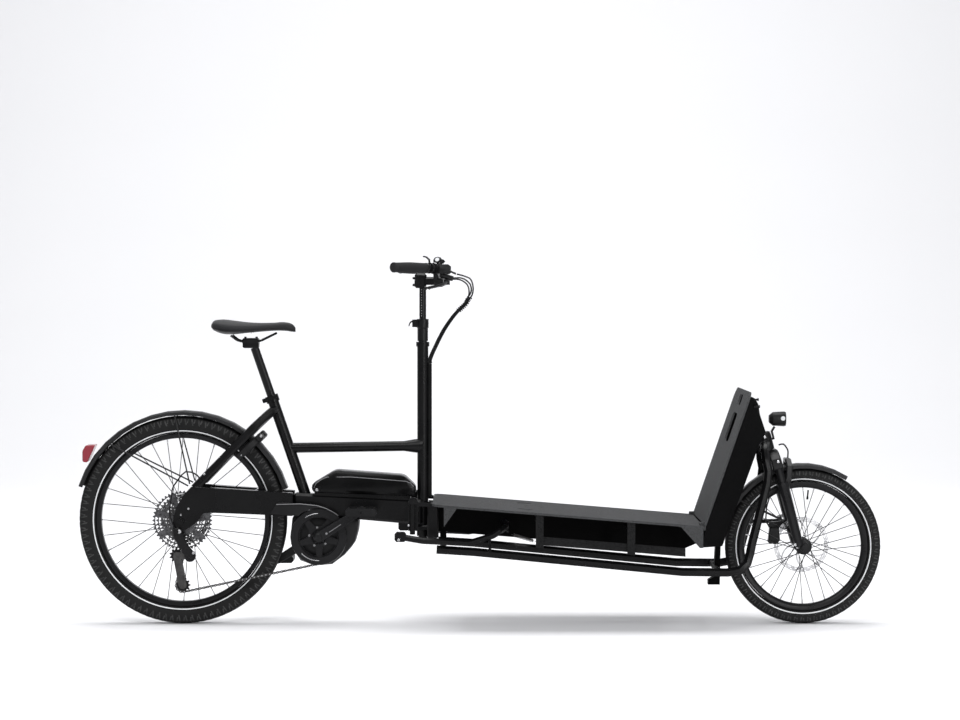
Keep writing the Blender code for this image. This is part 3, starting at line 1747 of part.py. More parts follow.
MAST_BORE = COLUMN_RADIUS + 0.0008
mast_ring = upright(0.8900, 0.9045, 0.0215)
mast_foot = upright(0.2820, 0.3015, 0.0200)
foot_block = bevel(box((-0.2030, -0.0240, 0.3020), (-0.1655, 0.0240, 0.3170)), 0.004, 1)
channel = box((-0.1680, -0.0085, 0.4060), (-0.1545, 0.0085, 0.8370))
part(
    "mast_tube",
    upright(0.2820, MAST_TOP, MAST_RADIUS),
    "frame",
    add=[mast_ring, mast_foot, foot_block, bevel(channel, 0.003, 1)],
    cut=[upright(0.2, 1.0, MAST_BORE)],
)

top_line = ((-0.6120, 0, 0.5643), (MAST_X, 0, 0.5713))
tube = pipe([between(*top_line, t) for t in (0.0, 0.86, 0.93, 1.0)], TOP_TUBE, 12, [1.0, 1.0, 1.30, 1.50])
seat_room = rod(between(*seat_axis, -0.3), between(*seat_axis, 1.3), SEAT_TUBE + GAP, 16)
part("top_tube", tube, "frame", cut=[seat_room, upright(0.4, 0.8, MAST_RADIUS + GAP)])

POST_BORE = UPPER_POST + SLIDE_GAP
column = upright(0.2680, 0.9500, COLUMN_RADIUS)
collar = turned(
    [(0.9075, 0.0), (0.9075, 0.0170), (0.9480, 0.0170), (0.9500, 0.0190), (0.9780, 0.0190), (0.9780, 0.0)],
    (MAST_X, 0, 0),
    (0, 0, 1),
    12,
)
ears = islands([box((-0.2170, y, 0.9520), (-0.1960, y + 0.0060, 0.9760)) for y in (-0.0090, 0.0030)])
arm_tip = at(LINK_REAR, LINK_Y)
arm_plate = plate(
    [
        (-0.020, -0.018),
        (0.020, -0.018),
        (0.020, 0.010),
        (0.011, LINK_Y),
        (0.006, LINK_Y + 0.010),
        (-0.006, LINK_Y + 0.010),
        (-0.011, LINK_Y),
        (-0.020, 0.010),
    ],
    0.2660,
    0.2740,
    (MAST_X, 0, 0),
    (1, 0, 0),
    (0, 1, 0),
    (0, 0, 1),
)
stud = rod((arm_tip.x, arm_tip.y, 0.2700), (arm_tip.x, arm_tip.y, 0.2920), 0.0040, 8)
part(
    "steering_column",
    column,
    "black",
    add=[collar, ears, bevel(arm_plate, 0.002, 1, 40), stud],
    cut=[upright(0.7000, 1.1, POST_BORE)],
    axis=(MAST_X, 0, 0.6),
)

CLAMP_PIN = (-0.2120, 0.9640)
lever = sweep(
    [
        (-0.2100, -0.0130, 0.9660),
        (-0.2260, -0.0130, 0.9700),
        (-0.2430, -0.0120, 0.9640),
        (-0.2560, -0.0110, 0.9540),
    ],
    rectangle(0.0080, 0.0045),
)
lever_boss = rod(at(CLAMP_PIN, -0.0170), at(CLAMP_PIN, -0.0094), 0.0065, 10)
part("clamp_lever", lever, "grey", add=[lever_boss], axis=at(CLAMP_PIN, -0.0130))

# Stem, handlebar and its controls
BAR_RADIUS = 0.0111
BAR_MIDDLE = (-0.1266, 0.0, 1.0998)
BAR_SIDE = (
    (-0.1266, 0.0320, 1.0998),
    (-0.1200, 0.0620, 1.1060),
    (-0.1250, 0.1300, 1.1300),
    (-0.1480, 0.1880, 1.1395),
    (-0.1640, 0.2100, 1.1400),
    (-0.2620, 0.3290, 1.1410),
)
bar_line = [(x, -y, z) for x, y, z in reversed(BAR_SIDE)] + list(BAR_SIDE)
bar_line = rounded(bar_line, 0.030, 1)


def bar_room():
    return pipe(bar_line, BAR_RADIUS + GAP, 10)


stem_block = bevel(block((-0.1905, 0, 1.1005), (0.0380, 0.0340, 0.0480), 0.05), 0.006, 1)
stem_arm = sweep(
    [(-0.1800, 0, 1.1000), (BAR_MIDDLE[0], 0, BAR_MIDDLE[2])],
    rectangle(0.0280, 0.0260, 0.006),
)
stem_clamp = rod(
    (BAR_MIDDLE[0], -0.0210, BAR_MIDDLE[2]),
    (BAR_MIDDLE[0], 0.0210, BAR_MIDDLE[2]),
    0.0195,
    12,
)
stem_screws = islands([rod((-0.2160, 0, z), (-0.2020, 0, z), 0.0042, 8) for z in (1.0870, 1.1090)])
part(
    "upper_post",
    upright(0.8000, 1.0860, UPPER_POST),
    "silver",
    add=[stem_block, stem_arm, stem_clamp, stem_screws],
    cut=[bar_room()],
    axis=(MAST_X, 0, 1.0),
)

pieces = []
for side in (-1, 1):
    pieces.append(
        bevel(
            box(
                (-0.1460, min(side * 0.150, side * 0.178), 1.0880),
                (-0.1160, max(side * 0.150, side * 0.178), 1.1080),
            ),
            0.004,
            1,
        )
    )
    pieces.append(
        box(
            (-0.1460, min(side * 0.168, side * 0.182), 1.1000),
            (-0.1340, max(side * 0.168, side * 0.182), 1.1400),
        )
    )
pieces.append(rod((-0.1380, -0.1640, 1.1360), (-0.1480, -0.1860, 1.1390), 0.0180, 10))
pieces.append(
    pipe(
        [
            (-0.1400, -0.1700, 1.1400),
            (-0.1130, -0.1680, 1.1370),
            (-0.1000, -0.1650, 1.1330),
            (-0.0760, -0.1580, 1.1220),
        ],
        0.0042,
        8,
        [1.0, 1.2, 0.8, 0.8],
    )
)
bell = turned(
    [
        (0.0, 0.0),
        (0.0, 0.0040),
        (0.0260, 0.0040),
        (0.0280, 0.0145),
        (0.0360, 0.0145),
        (0.0440, 0.0090),
        (0.0460, 0.0),
    ],
    (-0.1330, -0.1340, 1.1300),
    (0, 0, 1),
    12,
)
pieces.append(bell)
pieces.append(rod((-0.1200, -0.1700, 1.1560), (-0.1130, -0.1700, 1.1650), 0.0060, 8))
pieces.append(rod((-0.1380, -0.1720, 1.1400), (-0.1180, -0.1700, 1.1590), 0.0040, 6))
part("handlebar", pipe(bar_line, BAR_RADIUS, 10), "black", add=pieces, axis=BAR_MIDDLE)

for name, side in (("grip_right", -1), ("grip_left", 1)):
    start, end = [Vector((x, side * y, z)) for x, y, z in BAR_SIDE[-2:]]
    heading = (end - start).normalized()
    points = [
        start + heading * 0.003,
        start + heading * 0.010,
        start + heading * 0.145,
        end + heading * 0.006,
        end + heading * 0.0085,
    ]
    grip = pipe(points, 0.0168, 12, [0.85, 1.0, 1.0, 1.0, 0.8])
    part(name, grip, "grip", cut=[bar_room()], axis=start)

for name, side in (("brake_lever_right", -1), ("brake_lever_left", 1)):
    line = [
        (-0.1060, 0.1660, 1.0960),
        (-0.1080, 0.1900, 1.0930),
        (-0.1230, 0.2250, 1.0870),
        (-0.1620, 0.2830, 1.0780),
        (-0.1680, 0.2920, 1.0772),
    ]
    line = [Vector((x, side * y, z)) for x, y, z in line]
    lever = sweep(line, rectangle(0.0070, 0.0095, 0.002), [1.2, 1.1, 0.9, 0.8, 0.7])
    ball = turned(
        [(-0.0062, 0.0), (-0.0050, 0.0040), (0.0, 0.0062), (0.0050, 0.0040), (0.0062, 0.0)],
        line[-1],
        line[-1] - line[-2],
        8,
    )
    barrel = rod(line[0] + vec(0, 0, -0.0085), line[0] + vec(0, 0, 0.0085), 0.0075, 10)
    part(name, lever, "grey", add=[ball, barrel], axis=line[0])

line = [(-0.1590, -0.2010, 1.1660), (-0.1680, -0.2030, 1.1740), (-0.1770, -0.2050, 1.1760)]
lever = sweep(line, rectangle(0.0140, 0.0040))
lever_root = rod((-0.1574, -0.1998, 1.1530), (-0.1592, -0.2012, 1.1680), 0.0035, 6)
SHIFT_AXIS = Vector((-0.1570, -0.2000, 1.1398))
ring = turned(
    [(-0.0035, 0.0122), (-0.0035, 0.0170), (0.0035, 0.0170), (0.0035, 0.0122)],
    SHIFT_AXIS,
    (-0.52, -0.85, 0.02),
    12,
    closed=True,
)
room = rod(
    SHIFT_AXIS + vec(-0.52, -0.85, 0.02) * 0.03,
    SHIFT_AXIS - vec(-0.52, -0.85, 0.02) * 0.03,
    0.0121,
    12,
)
part("shift_lever", ring, "black", add=[lever, lever_root], cut=[room], axis=SHIFT_AXIS)

# Steering rod
TONGUE = (-0.1500, LINK_REAR[1])
eye = turned([(-0.0060, 0.0), (-0.0060, 0.0095), (0.0060, 0.0095), (0.0060, 0.0)], arm_tip, (0, 0, 1), 12)
tongue = box(
    (-0.1780, LINK_Y - 0.0025, LINK_REAR[1] - 0.0050),
    (-0.1440, LINK_Y + 0.0025, LINK_REAR[1] + 0.0050),
)
part(
    "tie_rod_end",
    eye,
    "steel",
    add=[tongue],
    cut=[
        rod(arm_tip - vec(0, 0, 0.02), arm_tip + vec(0, 0, 0.02), 0.0040 + SHAFT_GAP, 8),
        rod(at(TONGUE, 0.1), at(TONGUE, 0.2), 0.0026, 8),
    ],
    axis=arm_tip,
)
front_tip = at(LINK_FRONT, LINK_Y)
rod_heading = (front_tip - at(TONGUE, LINK_Y)).normalized()
rod_start = at(TONGUE, LINK_Y) + rod_heading * 0.0080
bar = rod(rod_start, front_tip - rod_heading * 0.0120, ROD_RADIUS, 10)
forks = islands([
    box(
        (TONGUE[0] - 0.0060, LINK_Y + y, TONGUE[1] - 0.0055),
        (TONGUE[0] + 0.0150, LINK_Y + y + 0.0030, TONGUE[1] + 0.0055),
    ) for y in (-0.0060, 0.0030)
])
pin = rod(at(TONGUE, LINK_Y - 0.0055), at(TONGUE, LINK_Y + 0.0055), 0.0020, 8)
sleeve = rod(rod_start + rod_heading * 0.0700, rod_start + rod_heading * 0.1050, 0.0095, 6)
front_eye = turned(
    [(-0.0060, 0.0), (-0.0060, 0.0125), (0.0060, 0.0125), (0.0060, 0.0)],
    front_tip,
    (0, 0, 1),
    12,
)
part(
    "tie_rod",
    bar,
    "black",
    add=[forks, pin, sleeve, front_eye],
    cut=[rod(front_tip - vec(0, 0, 0.02), front_tip + vec(0, 0, 0.02), 0.0080, 10)],
    axis=at(TONGUE, LINK_Y),
)

# Hoses from the controls into the mast
HOSE_RADIUS = 0.0025
BUNDLE = [
    (-0.0400, 1.0400),
    (-0.0470, 1.0270),
    (-0.0795, 0.9940),
    (-0.1138, 0.9460),
    (-0.1420, 0.8915),
    (-0.1600, 0.8500),
    (-0.1605, 0.8378),
]
HOSES = (
    (
        (0.0, -0.0032),
        [
            (-0.1125, -0.1580, 1.1000),
            (-0.0860, -0.1350, 1.1080),
            (-0.0560, -0.0850, 1.1080),
            (-0.0320, -0.0380, 1.0900),
            (-0.0290, -0.0120, 1.0640),
        ],
    ),
    (
        (0.0, 0.0032),
        [
            (-0.1125, 0.1580, 1.1000),
            (-0.0860, 0.1350, 1.1060),
            (-0.0600, 0.0850, 1.1020),
            (-0.0400, 0.0380, 1.0860),
            (-0.0350, 0.0120, 1.0620),
        ],
    ),
    (
        (0.0045, 0.0),
        [
            (-0.0715, -0.1565, 1.1210),
            (-0.0500, -0.1250, 1.1150),
            (-0.0300, -0.0700, 1.1050),
            (-0.0220, -0.0250, 1.0800),
            (-0.0250, 0.0, 1.0560),
        ],
    ),
)
tubes = []
for (ahead, across), lead in HOSES:
    line = lead + [(x + ahead, across, z) for x, z in BUNDLE]
    tubes.append(pipe(line, HOSE_RADIUS, 6))
wrap_line = [at(between(BUNDLE[0], BUNDLE[1], t)) + vec(0.0015, 0, 0) for t in (-0.6, 0.0, 1.0, 1.8)]
wrap = sweep(wrap_line, circle(0.0075, 8))
part("hoses", wrap, "black", add=tubes)
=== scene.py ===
"""Dressed scene of an electric cargo bike standing on a pale floor.

Metres, +Z up, the front of the bike towards +X and its left side towards +Y.
"""

import json
from math import acos, atan2, copysign, cos, exp, hypot, pi, radians, sin

import bmesh
import bpy
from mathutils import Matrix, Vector
from mathutils.bvhtree import BVHTree


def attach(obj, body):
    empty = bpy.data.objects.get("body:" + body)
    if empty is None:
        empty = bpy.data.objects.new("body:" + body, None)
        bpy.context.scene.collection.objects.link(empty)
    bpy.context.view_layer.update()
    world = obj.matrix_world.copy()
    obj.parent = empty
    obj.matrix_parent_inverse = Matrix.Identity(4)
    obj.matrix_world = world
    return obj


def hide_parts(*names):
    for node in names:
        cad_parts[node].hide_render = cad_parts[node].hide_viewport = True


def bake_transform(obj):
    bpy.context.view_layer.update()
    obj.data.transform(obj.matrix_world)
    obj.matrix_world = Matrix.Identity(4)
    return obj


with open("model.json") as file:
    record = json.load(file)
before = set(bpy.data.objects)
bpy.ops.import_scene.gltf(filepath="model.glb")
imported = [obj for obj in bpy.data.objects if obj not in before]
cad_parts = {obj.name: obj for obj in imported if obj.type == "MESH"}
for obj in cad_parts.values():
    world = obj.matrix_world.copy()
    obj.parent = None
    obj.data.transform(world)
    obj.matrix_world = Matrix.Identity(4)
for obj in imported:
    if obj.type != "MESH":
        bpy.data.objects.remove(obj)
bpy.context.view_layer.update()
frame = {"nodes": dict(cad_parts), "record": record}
SCENE = bpy.context.scene

# Places and sizes repeated from the model
REAR_AXLE = Vector((-0.9525, 0.0, 0.334))
FRONT_AXLE = Vector((1.0365, 0.0, 0.250))
CRANK_AXLE = Vector((-0.515, 0.0, 0.283))
GUIDE_PULLEY = Vector((-0.9678, 0.0, 0.2236))
TENSION_PULLEY = Vector((-0.9494, 0.0, 0.1287))
REAR_RADIUS = 0.334
FRONT_RADIUS = 0.250
REAR_TYRE = 0.057
FRONT_TYRE = 0.055
REAR_RIM = (0.2790, 0.2625)
FRONT_RIM = (0.2085, 0.1870)
CHAIN_Y = -0.050
CHAIN_PITCH = 0.0127
GRIP_ENDS = ((-0.1640, 0.2100, 1.1400), (-0.2620, 0.3290, 1.1410))


# Materials


def nodes_of(name):
    """A new material, a maker of its nodes and a setter of its shader's inputs."""
    material = bpy.data.materials.new(name)
    material.use_nodes = True
    tree = material.node_tree

    def fill(made, inputs):
        for key, value in inputs.items():
            if isinstance(value, bpy.types.NodeSocket):
                tree.links.new(value, made.inputs[key])
            else:
                made.inputs[key].default_value = value

    def node(kind, inputs, **settings):
        made = tree.nodes.new(kind)
        for key, value in settings.items():
            setattr(made, key, value)
        fill(made, inputs)
        return made

    def shade(inputs):
        fill(tree.nodes["Principled BSDF"], inputs)

    return material, node, shade


def local_place(node):
    """The place on the piece, in metres."""
    return node("ShaderNodeTexCoord", {}).outputs["Object"]


def grain(node, place, scale, detail, roughness=0.55):
    """Noise between 0 and 1 at a scale per metre."""
    inputs = {"Vector": place, "Scale": scale, "Detail": detail, "Roughness": roughness}
    return node("ShaderNodeTexNoise", inputs).outputs["Fac"]


def ramp(node, source, low, high, start=0.35, end=0.65):
    """Maps a noise to values between low and high."""
    inputs = {"Value": source, "From Min": start, "From Max": end, "To Min": low, "To Max": high}
    return node("ShaderNodeMapRange", inputs).outputs["Result"]


def maths(node, operation, a, b):
    return node("ShaderNodeMath", {0: a, 1: b}, operation=operation).outputs[0]


def mix(node, factor, low, high):
    """A colour between two others."""
    inputs = {"Factor": factor, 6: (*low, 1.0), 7: (*high, 1.0)}
    return node("ShaderNodeMix", inputs, data_type="RGBA").outputs[2]


def bump(node, height, strength, depth):
    """The way a surface faces once a height stands out by this depth."""
    inputs = {"Height": height, "Strength": strength, "Distance": depth}
    return node("ShaderNodeBump", inputs).outputs["Normal"]


def surface(
    name, dark, light, rough, fine, depth, metal=0.0, patch=9.0, stretch=None, sheen=0.0, specular=0.18
):
    """A finish whose colour and gloss vary in soft patches over a fine grain."""
    material, node, shade = nodes_of(name)
    place = local_place(node)
    if stretch:
        place = node("ShaderNodeMapping", {"Vector": place, "Scale": stretch}).outputs["Vector"]
    wide = grain(node, place, patch, 4.0)
    small = grain(node, place, fine, 3.0, 0.6)
    blend = ramp(node, maths(node, "ADD", wide, small), 0.0, 1.0, 0.75, 1.25)
    shade({
        "Base Color": mix(node, blend, dark, light),
        "Roughness": ramp(node, wide, *rough),
        "Normal": bump(node, small, 0.6, depth),
        "Metallic": metal,
        "Sheen Weight": sheen,
        "Specular IOR Level": specular,
    })
    return material


GRIT_CELL = 520.0
GRIT_DEPTH = 0.0006


def gritty(name, dark, light, specular=0.15):
    """A sprayed grip coat: rounded grains of two sizes with pale tips."""
    material, node, shade = nodes_of(name)
    place = local_place(node)
    cells = node(
        "ShaderNodeTexVoronoi", {"Vector": place, "Scale": GRIT_CELL}, feature="SMOOTH_F1"
    ).outputs["Distance"]
    wide = grain(node, place, 7.0, 5.0)
    small = grain(node, place, 1.9 * GRIT_CELL, 2.0)
    height = maths(node, "SUBTRACT", small, cells)
    tips = ramp(node, height, 0.0, 1.0, -0.25, 0.35)
    worn = maths(node, "MULTIPLY", tips, ramp(node, wide, 0.75, 1.15))
    shade({
        "Base Color": mix(node, worn, dark, light),
        "Roughness": ramp(node, wide, 0.82, 0.95),
        "Normal": bump(node, height, 0.8, GRIT_DEPTH),
        "Specular IOR Level": specular,
    })
    return material


def clear(name, colour, rough, transmission, glow):
    """A moulded lens with faint flutes and a trace of light of its own."""
    material, node, shade = nodes_of(name)
    flutes = node(
        "ShaderNodeTexWave", {"Vector": local_place(node), "Scale": 160.0, "Distortion": 0.4}
    ).outputs["Fac"]
    tint = mix(node, flutes, [0.75 * c for c in colour], colour)
    shade({
        "Base Color": tint,
        "Normal": bump(node, flutes, 0.4, 0.0004),
        "Roughness": rough,
        "Transmission Weight": transmission,
        "IOR": 1.5,
        "Emission Color": tint,
        "Emission Strength": glow,
    })
    return material


# Name, dark and light colour, range of roughness, grain per metre and its depth
PAINT = surface(
    "frame_paint", (0.0018, 0.0018, 0.0020), (0.0045, 0.0045, 0.0048), (0.22, 0.32), 1400, 0.00005,
    specular=0.16,
)
# Painted shade: the deck's spine is drawn near black and dull for the shadow it lies in under the deck
SHADE = surface(
    "spine_painted_shade", (0.0005, 0.0005, 0.0005), (0.0014, 0.0014, 0.0015), (0.45, 0.60), 1400, 0.00005,
    specular=0.04,
)
ALLOY = surface(
    "black_alloy", (0.0035, 0.0035, 0.0040), (0.0090, 0.0090, 0.0096), (0.24, 0.34), 1100, 0.00006
)
GREY_ALLOY = surface(
    "grey_alloy", (0.16, 0.16, 0.165), (0.24, 0.24, 0.245), (0.34, 0.46), 1100, 0.00008, metal=0.7
)
STEEL = surface(
    "bright_steel", (0.42, 0.42, 0.43), (0.58, 0.58, 0.59), (0.20, 0.34), 900, 0.00005,
    metal=1.0, stretch=(1, 1, 6),
)
DARK_STEEL = surface(
    "dark_steel", (0.035, 0.034, 0.034), (0.10, 0.098, 0.096), (0.28, 0.45), 1200, 0.00008,
    metal=0.9, patch=60,
)
BRIGHT_COG = surface(
    "cog_steel", (0.030, 0.030, 0.031), (0.16, 0.16, 0.165), (0.22, 0.36), 1200, 0.00006,
    metal=1.0, patch=90,
)
SPOKE = surface(
    "spoke_black", (0.016, 0.016, 0.016), (0.050, 0.050, 0.051), (0.25, 0.35), 1200, 0.00004,
    metal=0.8, patch=25,
)
PLASTIC = surface(
    "black_plastic", (0.0038, 0.0038, 0.0042), (0.0095, 0.0095, 0.0100), (0.34, 0.46), 2200, 0.0001
)
# Painted highlight: the mudguards are drawn a lighter grey than the black plastic, for the light their upward
# faces catch
GUARD = surface("guard_painted_highlight", (0.012, 0.012, 0.0125), (0.024, 0.024, 0.025), (0.36, 0.48), 1500, 0.0001)
CASE = surface(
    "battery_case", (0.0010, 0.0010, 0.0011), (0.0030, 0.0030, 0.0032), (0.20, 0.30), 2400, 0.00004,
    specular=0.12,
)
RUBBER = surface(
    "tyre_rubber", (0.0045, 0.0045, 0.0045), (0.0125, 0.0125, 0.0125), (0.60, 0.78), 900, 0.0003
)
# Painted highlight: the sidewall ribs are drawn in a paler grey than the tyre's rubber, for the light that
# catches them
LUG_HIGHLIGHT = surface(
    "tread_painted_highlight", (0.010, 0.010, 0.010), (0.060, 0.060, 0.060), (0.55, 0.75), 500, 0.0004, patch=70
)
STRIPE = surface("stripe", (0.62, 0.63, 0.64), (0.78, 0.79, 0.80), (0.35, 0.5), 600, 0.0001, patch=30)
GRIP = surface("grip_rubber", (0.009, 0.009, 0.010), (0.020, 0.020, 0.021), (0.72, 0.88), 1500, 0.0002)
COVER = surface(
    "saddle_cover", (0.010, 0.010, 0.011), (0.020, 0.020, 0.022), (0.48, 0.62), 1300, 0.00025, sheen=0.1
)
DECK = gritty("deck_coat", (0.018, 0.0182, 0.0190), (0.074, 0.075, 0.077))
WALL = gritty("wall_coat", (0.018, 0.0185, 0.0195), (0.076, 0.077, 0.079))
CHEEK = gritty("cheek_coat", (0.0012, 0.0012, 0.0013), (0.0048, 0.0048, 0.0051), specular=0.06)
RAIL = gritty("rail_coat", (0.0040, 0.0040, 0.0043), (0.0200, 0.0202, 0.0206), specular=0.07)
RED = clear("red_lens", (0.30, 0.035, 0.050), 0.18, 0.20, glow=0.10)
PALE = clear("pale_lens", (0.86, 0.88, 0.90), 0.08, 0.35, glow=0.25)

# The finish of each of the record's material slots
FINISH = {
    "frame_paint": PAINT, "black_alloy": ALLOY, "black_plastic": PLASTIC, "deck_coat": DECK,
    "wall_coat": WALL, "tyre_rubber": RUBBER, "grip_rubber": GRIP, "saddle_cover": COVER,
    "bright_steel": STEEL, "dark_steel": DARK_STEEL, "grey_alloy": GREY_ALLOY, "red_lens": RED,
}


# Camera, floor and light

CAMERA_PLACE = (0.0, -8.3, 1.087)
CAMERA_TILT = radians(90 - 1.66)
CAMERA_LENS = 97.1
FLOOR_HALF = 30.0
WALL_BEND_Y = 6.0
WALL_BEND = 5.0
WALL_TOP = 14.0
WORLD_COLOUR = (0.93, 0.94, 0.96, 1.0)
WORLD_STRENGTH = 0.44
# Name, place, target, size and power
LAMPS = (
    ("key", (-1.6, -4.6, 4.6), (0.0, 0.0, 0.5), (4.0, 2.4), 150),
    ("fill", (4.6, -4.2, 2.2), (0.2, 0.0, 0.5), (2.6, 2.6), 50),
    ("top", (0.0, 0.3, 4.4), (0.0, 0.0, 0.0), (5.0, 2.0), 190),
    ("strip", (2.2, -4.6, 1.6), (0.0, 0.0, 0.6), (0.25, 3.0), 60),
    ("wash", (0.0, 4.0, 6.5), (0.0, 9.0, 2.0), (7.0, 2.0), 420),
)


def put_in_scene(name, data):
    obj = bpy.data.objects.new(name, data)
    SCENE.collection.objects.link(obj)
    return obj


def make_camera():
    camera = bpy.data.cameras.new("camera")
    camera.sensor_width = 36.0
    camera.lens = CAMERA_LENS
    camera.clip_end = 200.0
    view = put_in_scene("camera", camera)
    view.location = CAMERA_PLACE
    view.rotation_euler = (CAMERA_TILT, 0.0, 0.0)
    SCENE.camera = view
    SCENE.view_settings.view_transform = "Standard"
    SCENE.view_settings.look = "None"


def make_floor():
    """A sheet of pale paper that bends up behind the bike."""
    paper, node, shade = nodes_of("paper")
    spot = grain(node, local_place(node), 0.6, 2.0)
    shade({
        "Base Color": mix(node, spot, (0.80, 0.80, 0.815), (0.815, 0.815, 0.83)),
        "Roughness": 0.9,
        "Specular IOR Level": 0.1,
    })
    profile = [(-FLOOR_HALF, 0.0), (WALL_BEND_Y, 0.0)]
    for k in range(1, 9):
        a = k * pi / 16
        profile.append((WALL_BEND_Y + WALL_BEND * sin(a), WALL_BEND - WALL_BEND * cos(a)))
    profile.append((WALL_BEND_Y + WALL_BEND, WALL_TOP))
    verts = [(x, y, z) for y, z in profile for x in (-FLOOR_HALF, FLOOR_HALF)]
    faces = [(2 * i, 2 * i + 1, 2 * i + 3, 2 * i + 2) for i in range(len(profile) - 1)]
    mesh = bpy.data.meshes.new("floor")
    mesh.from_pydata(verts, [], faces)
    mesh.materials.append(paper)
    floor = put_in_scene("floor", mesh)
    for face in mesh.polygons:
        face.use_smooth = True


def make_light():
    world = bpy.data.worlds.new("world")
    world.use_nodes = True
    background = world.node_tree.nodes["Background"]
    background.inputs["Color"].default_value = WORLD_COLOUR
    background.inputs["Strength"].default_value = WORLD_STRENGTH
    SCENE.world = world
    for name, place, target, size, power in LAMPS:
        light = bpy.data.lights.new(name, "AREA")
        light.shape = "RECTANGLE"
        light.size, light.size_y = size
        light.energy = power
        lamp = put_in_scene(name, light)
        lamp.location = place
        lamp.rotation_euler = (Vector(target) - Vector(place)).to_track_quat("-Z", "Y").to_euler()


make_camera()
make_floor()
make_light()


# Mesh makers

# Corners sharper than these many degrees show as edges
SOFT = 70.0
WIRE = 60.0
TURNED = 40.0
TOOTHED = 35.0
PRESSED = 30.0
MERGE = 0.00001


def soften(obj, corner):
    mesh = obj.data
    mesh.polygons.foreach_set("use_smooth", [True] * len(mesh.polygons))
    split = obj.modifiers.new("corners", "EDGE_SPLIT")
    split.split_angle = radians(corner)
    split.use_edge_sharp = False


def bare_piece(name, bm, material, corner):
    """A mesh as a named piece, smooth except at corners sharper than this many degrees."""
    bmesh.ops.recalc_face_normals(bm, faces=bm.faces)
    mesh = bpy.data.meshes.new(name)
    bm.to_mesh(mesh)
    bm.free()
    mesh.materials.append(material)
    mesh.validate()
    obj = put_in_scene(name, mesh)
    soften(obj, corner)
    return obj


def finish_piece(name, bm, material, node_name, corner=TURNED):
    """A piece that rides on a node's body, in the given material."""
    body = BODY_OF[node_name]
    obj = bare_piece(name, bm, material, corner)
    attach(obj, body)
    return obj


def merge(bm):
    """Joins vertices that share a place."""
    bmesh.ops.remove_doubles(bm, verts=bm.verts, dist=MERGE)


def grid(bm, rings, closed=False):
    """Faces between rings of vertices; closed joins the last ring to the first, else the ends are capped."""
    pairs = list(zip(rings, rings[1:]))
    if closed:
        pairs.append((rings[-1], rings[0]))
    for low, high in pairs:
        for i in range(len(low)):
            j = (i + 1) % len(low)
            bm.faces.new((low[i], low[j], high[j], high[i]))
    if not closed:
        bm.faces.new(rings[0])
        bm.faces.new(rings[-1])


def circle(bm, centre, u, v, radius, steps):
    """Vertices round a centre in the plane of two directions."""
    ring = []
    for i in range(steps):
        a = 2 * pi * i / steps
        ring.append(bm.verts.new(centre + (u * cos(a) + v * sin(a)) * radius))
    return ring


def lathe(bm, profile, centre, axis=(0, 1, 0), steps=96, closed=False):
    """Pairs of distance along the axis and radius, turned about it."""
    w = Vector(axis).normalized()
    u = Vector((1, 0, 0)) if abs(w.x) < 0.9 else Vector((0, 1, 0))
    u = (u - w * u.dot(w)).normalized()
    v = w.cross(u)
    centre = Vector(centre)
    grid(bm, [circle(bm, centre + w * along, u, v, radius, steps) for along, radius in profile], closed)


def tube(bm, points, radius, sides):
    """A round bar along a line of points, with its section carried without twist."""
    line = [Vector(p) for p in points]
    heading = (line[1] - line[0]).normalized()
    side = Vector((0, 0, 1)).cross(heading)
    if side.length < 1e-4:
        side = Vector((1, 0, 0)).cross(heading)
    side.normalize()
    rings = []
    for i, point in enumerate(line):
        before = line[i] - line[i - 1] if i else line[1] - line[0]
        after = line[i + 1] - line[i] if i < len(line) - 1 else before
        along = (before.normalized() + after.normalized()).normalized()
        side = heading.rotation_difference(along) @ side
        heading = along
        rings.append(circle(bm, point, side, along.cross(side), radius, sides))
    grid(bm, rings)


def smooth_line(points, cuts):
    """A smooth curve through the points."""
    line = [Vector(p) for p in points]
    ends = [2 * line[0] - line[1]] + line + [2 * line[-1] - line[-2]]
    made = []
    for a, b, c, d in zip(ends, ends[1:], ends[2:], ends[3:]):
        for k in range(cuts):
            t = k / cuts
            square, cube = (2 * a - 5 * b + 4 * c - d) * t**2, (3 * b - a - 3 * c + d) * t**3
            made.append(0.5 * (2 * b + (c - a) * t + square + cube))
    made.append(line[-1])
    return made


def dome(bm, centre, axis, radius, height, sides):
    """A low round head, such as a bolt's."""
    profile = [(0.0, radius), (height * 0.55, radius), (height * 0.85, radius * 0.8), (height, radius * 0.45)]
    lathe(bm, profile, centre, axis, sides)


def spin_point(centre, radius, degrees, y=0.0):
    """The point at a radius and angle about an axle, at a level across the bike."""
    a = radians(degrees)
    return Vector((centre.x + radius * cos(a), y, centre.z + radius * sin(a)))


def wafer(bm, centre, corners, levels):
    """A flat plate between two levels, its outline given as radii and angles about an axle."""
    grid(bm, [[bm.verts.new(spin_point(centre, r, a, level)) for r, a in corners] for level in levels])


def bush(bm, centre, y, half, first, second, steps=96):
    """A short ring between two radii, its middle at a level across the bike."""
    profile = [(y - half, first), (y - half, second), (y + half, second), (y + half, first)]
    lathe(bm, profile, centre, steps=steps, closed=True)


# Finishes of the model's own nodes

FOLD = 31.0
WELD = 0.00002
NODE_FINISH = (
    (ALLOY, ("upper_post", "brake_lever_left", "brake_lever_right", "seat_clamp_lever", "derailleur")),
    (GUARD, ("rear_mudguard", "front_mudguard")),
    # The mudguards take the lighter grey of the painted highlight
    (CHEEK, ("cheek_left", "cheek_right")),
    (RAIL, ("deck_rail_left", "deck_rail_right")),
    # The deck's spine takes the near black of the painted shade
    (SHADE, ("deck_spine",)),
    (CASE, ("battery",)),
)
BODY_OF = {
    member: body for body, members in frame["record"]["behaviour"]["bodies"].items() for member in members
}


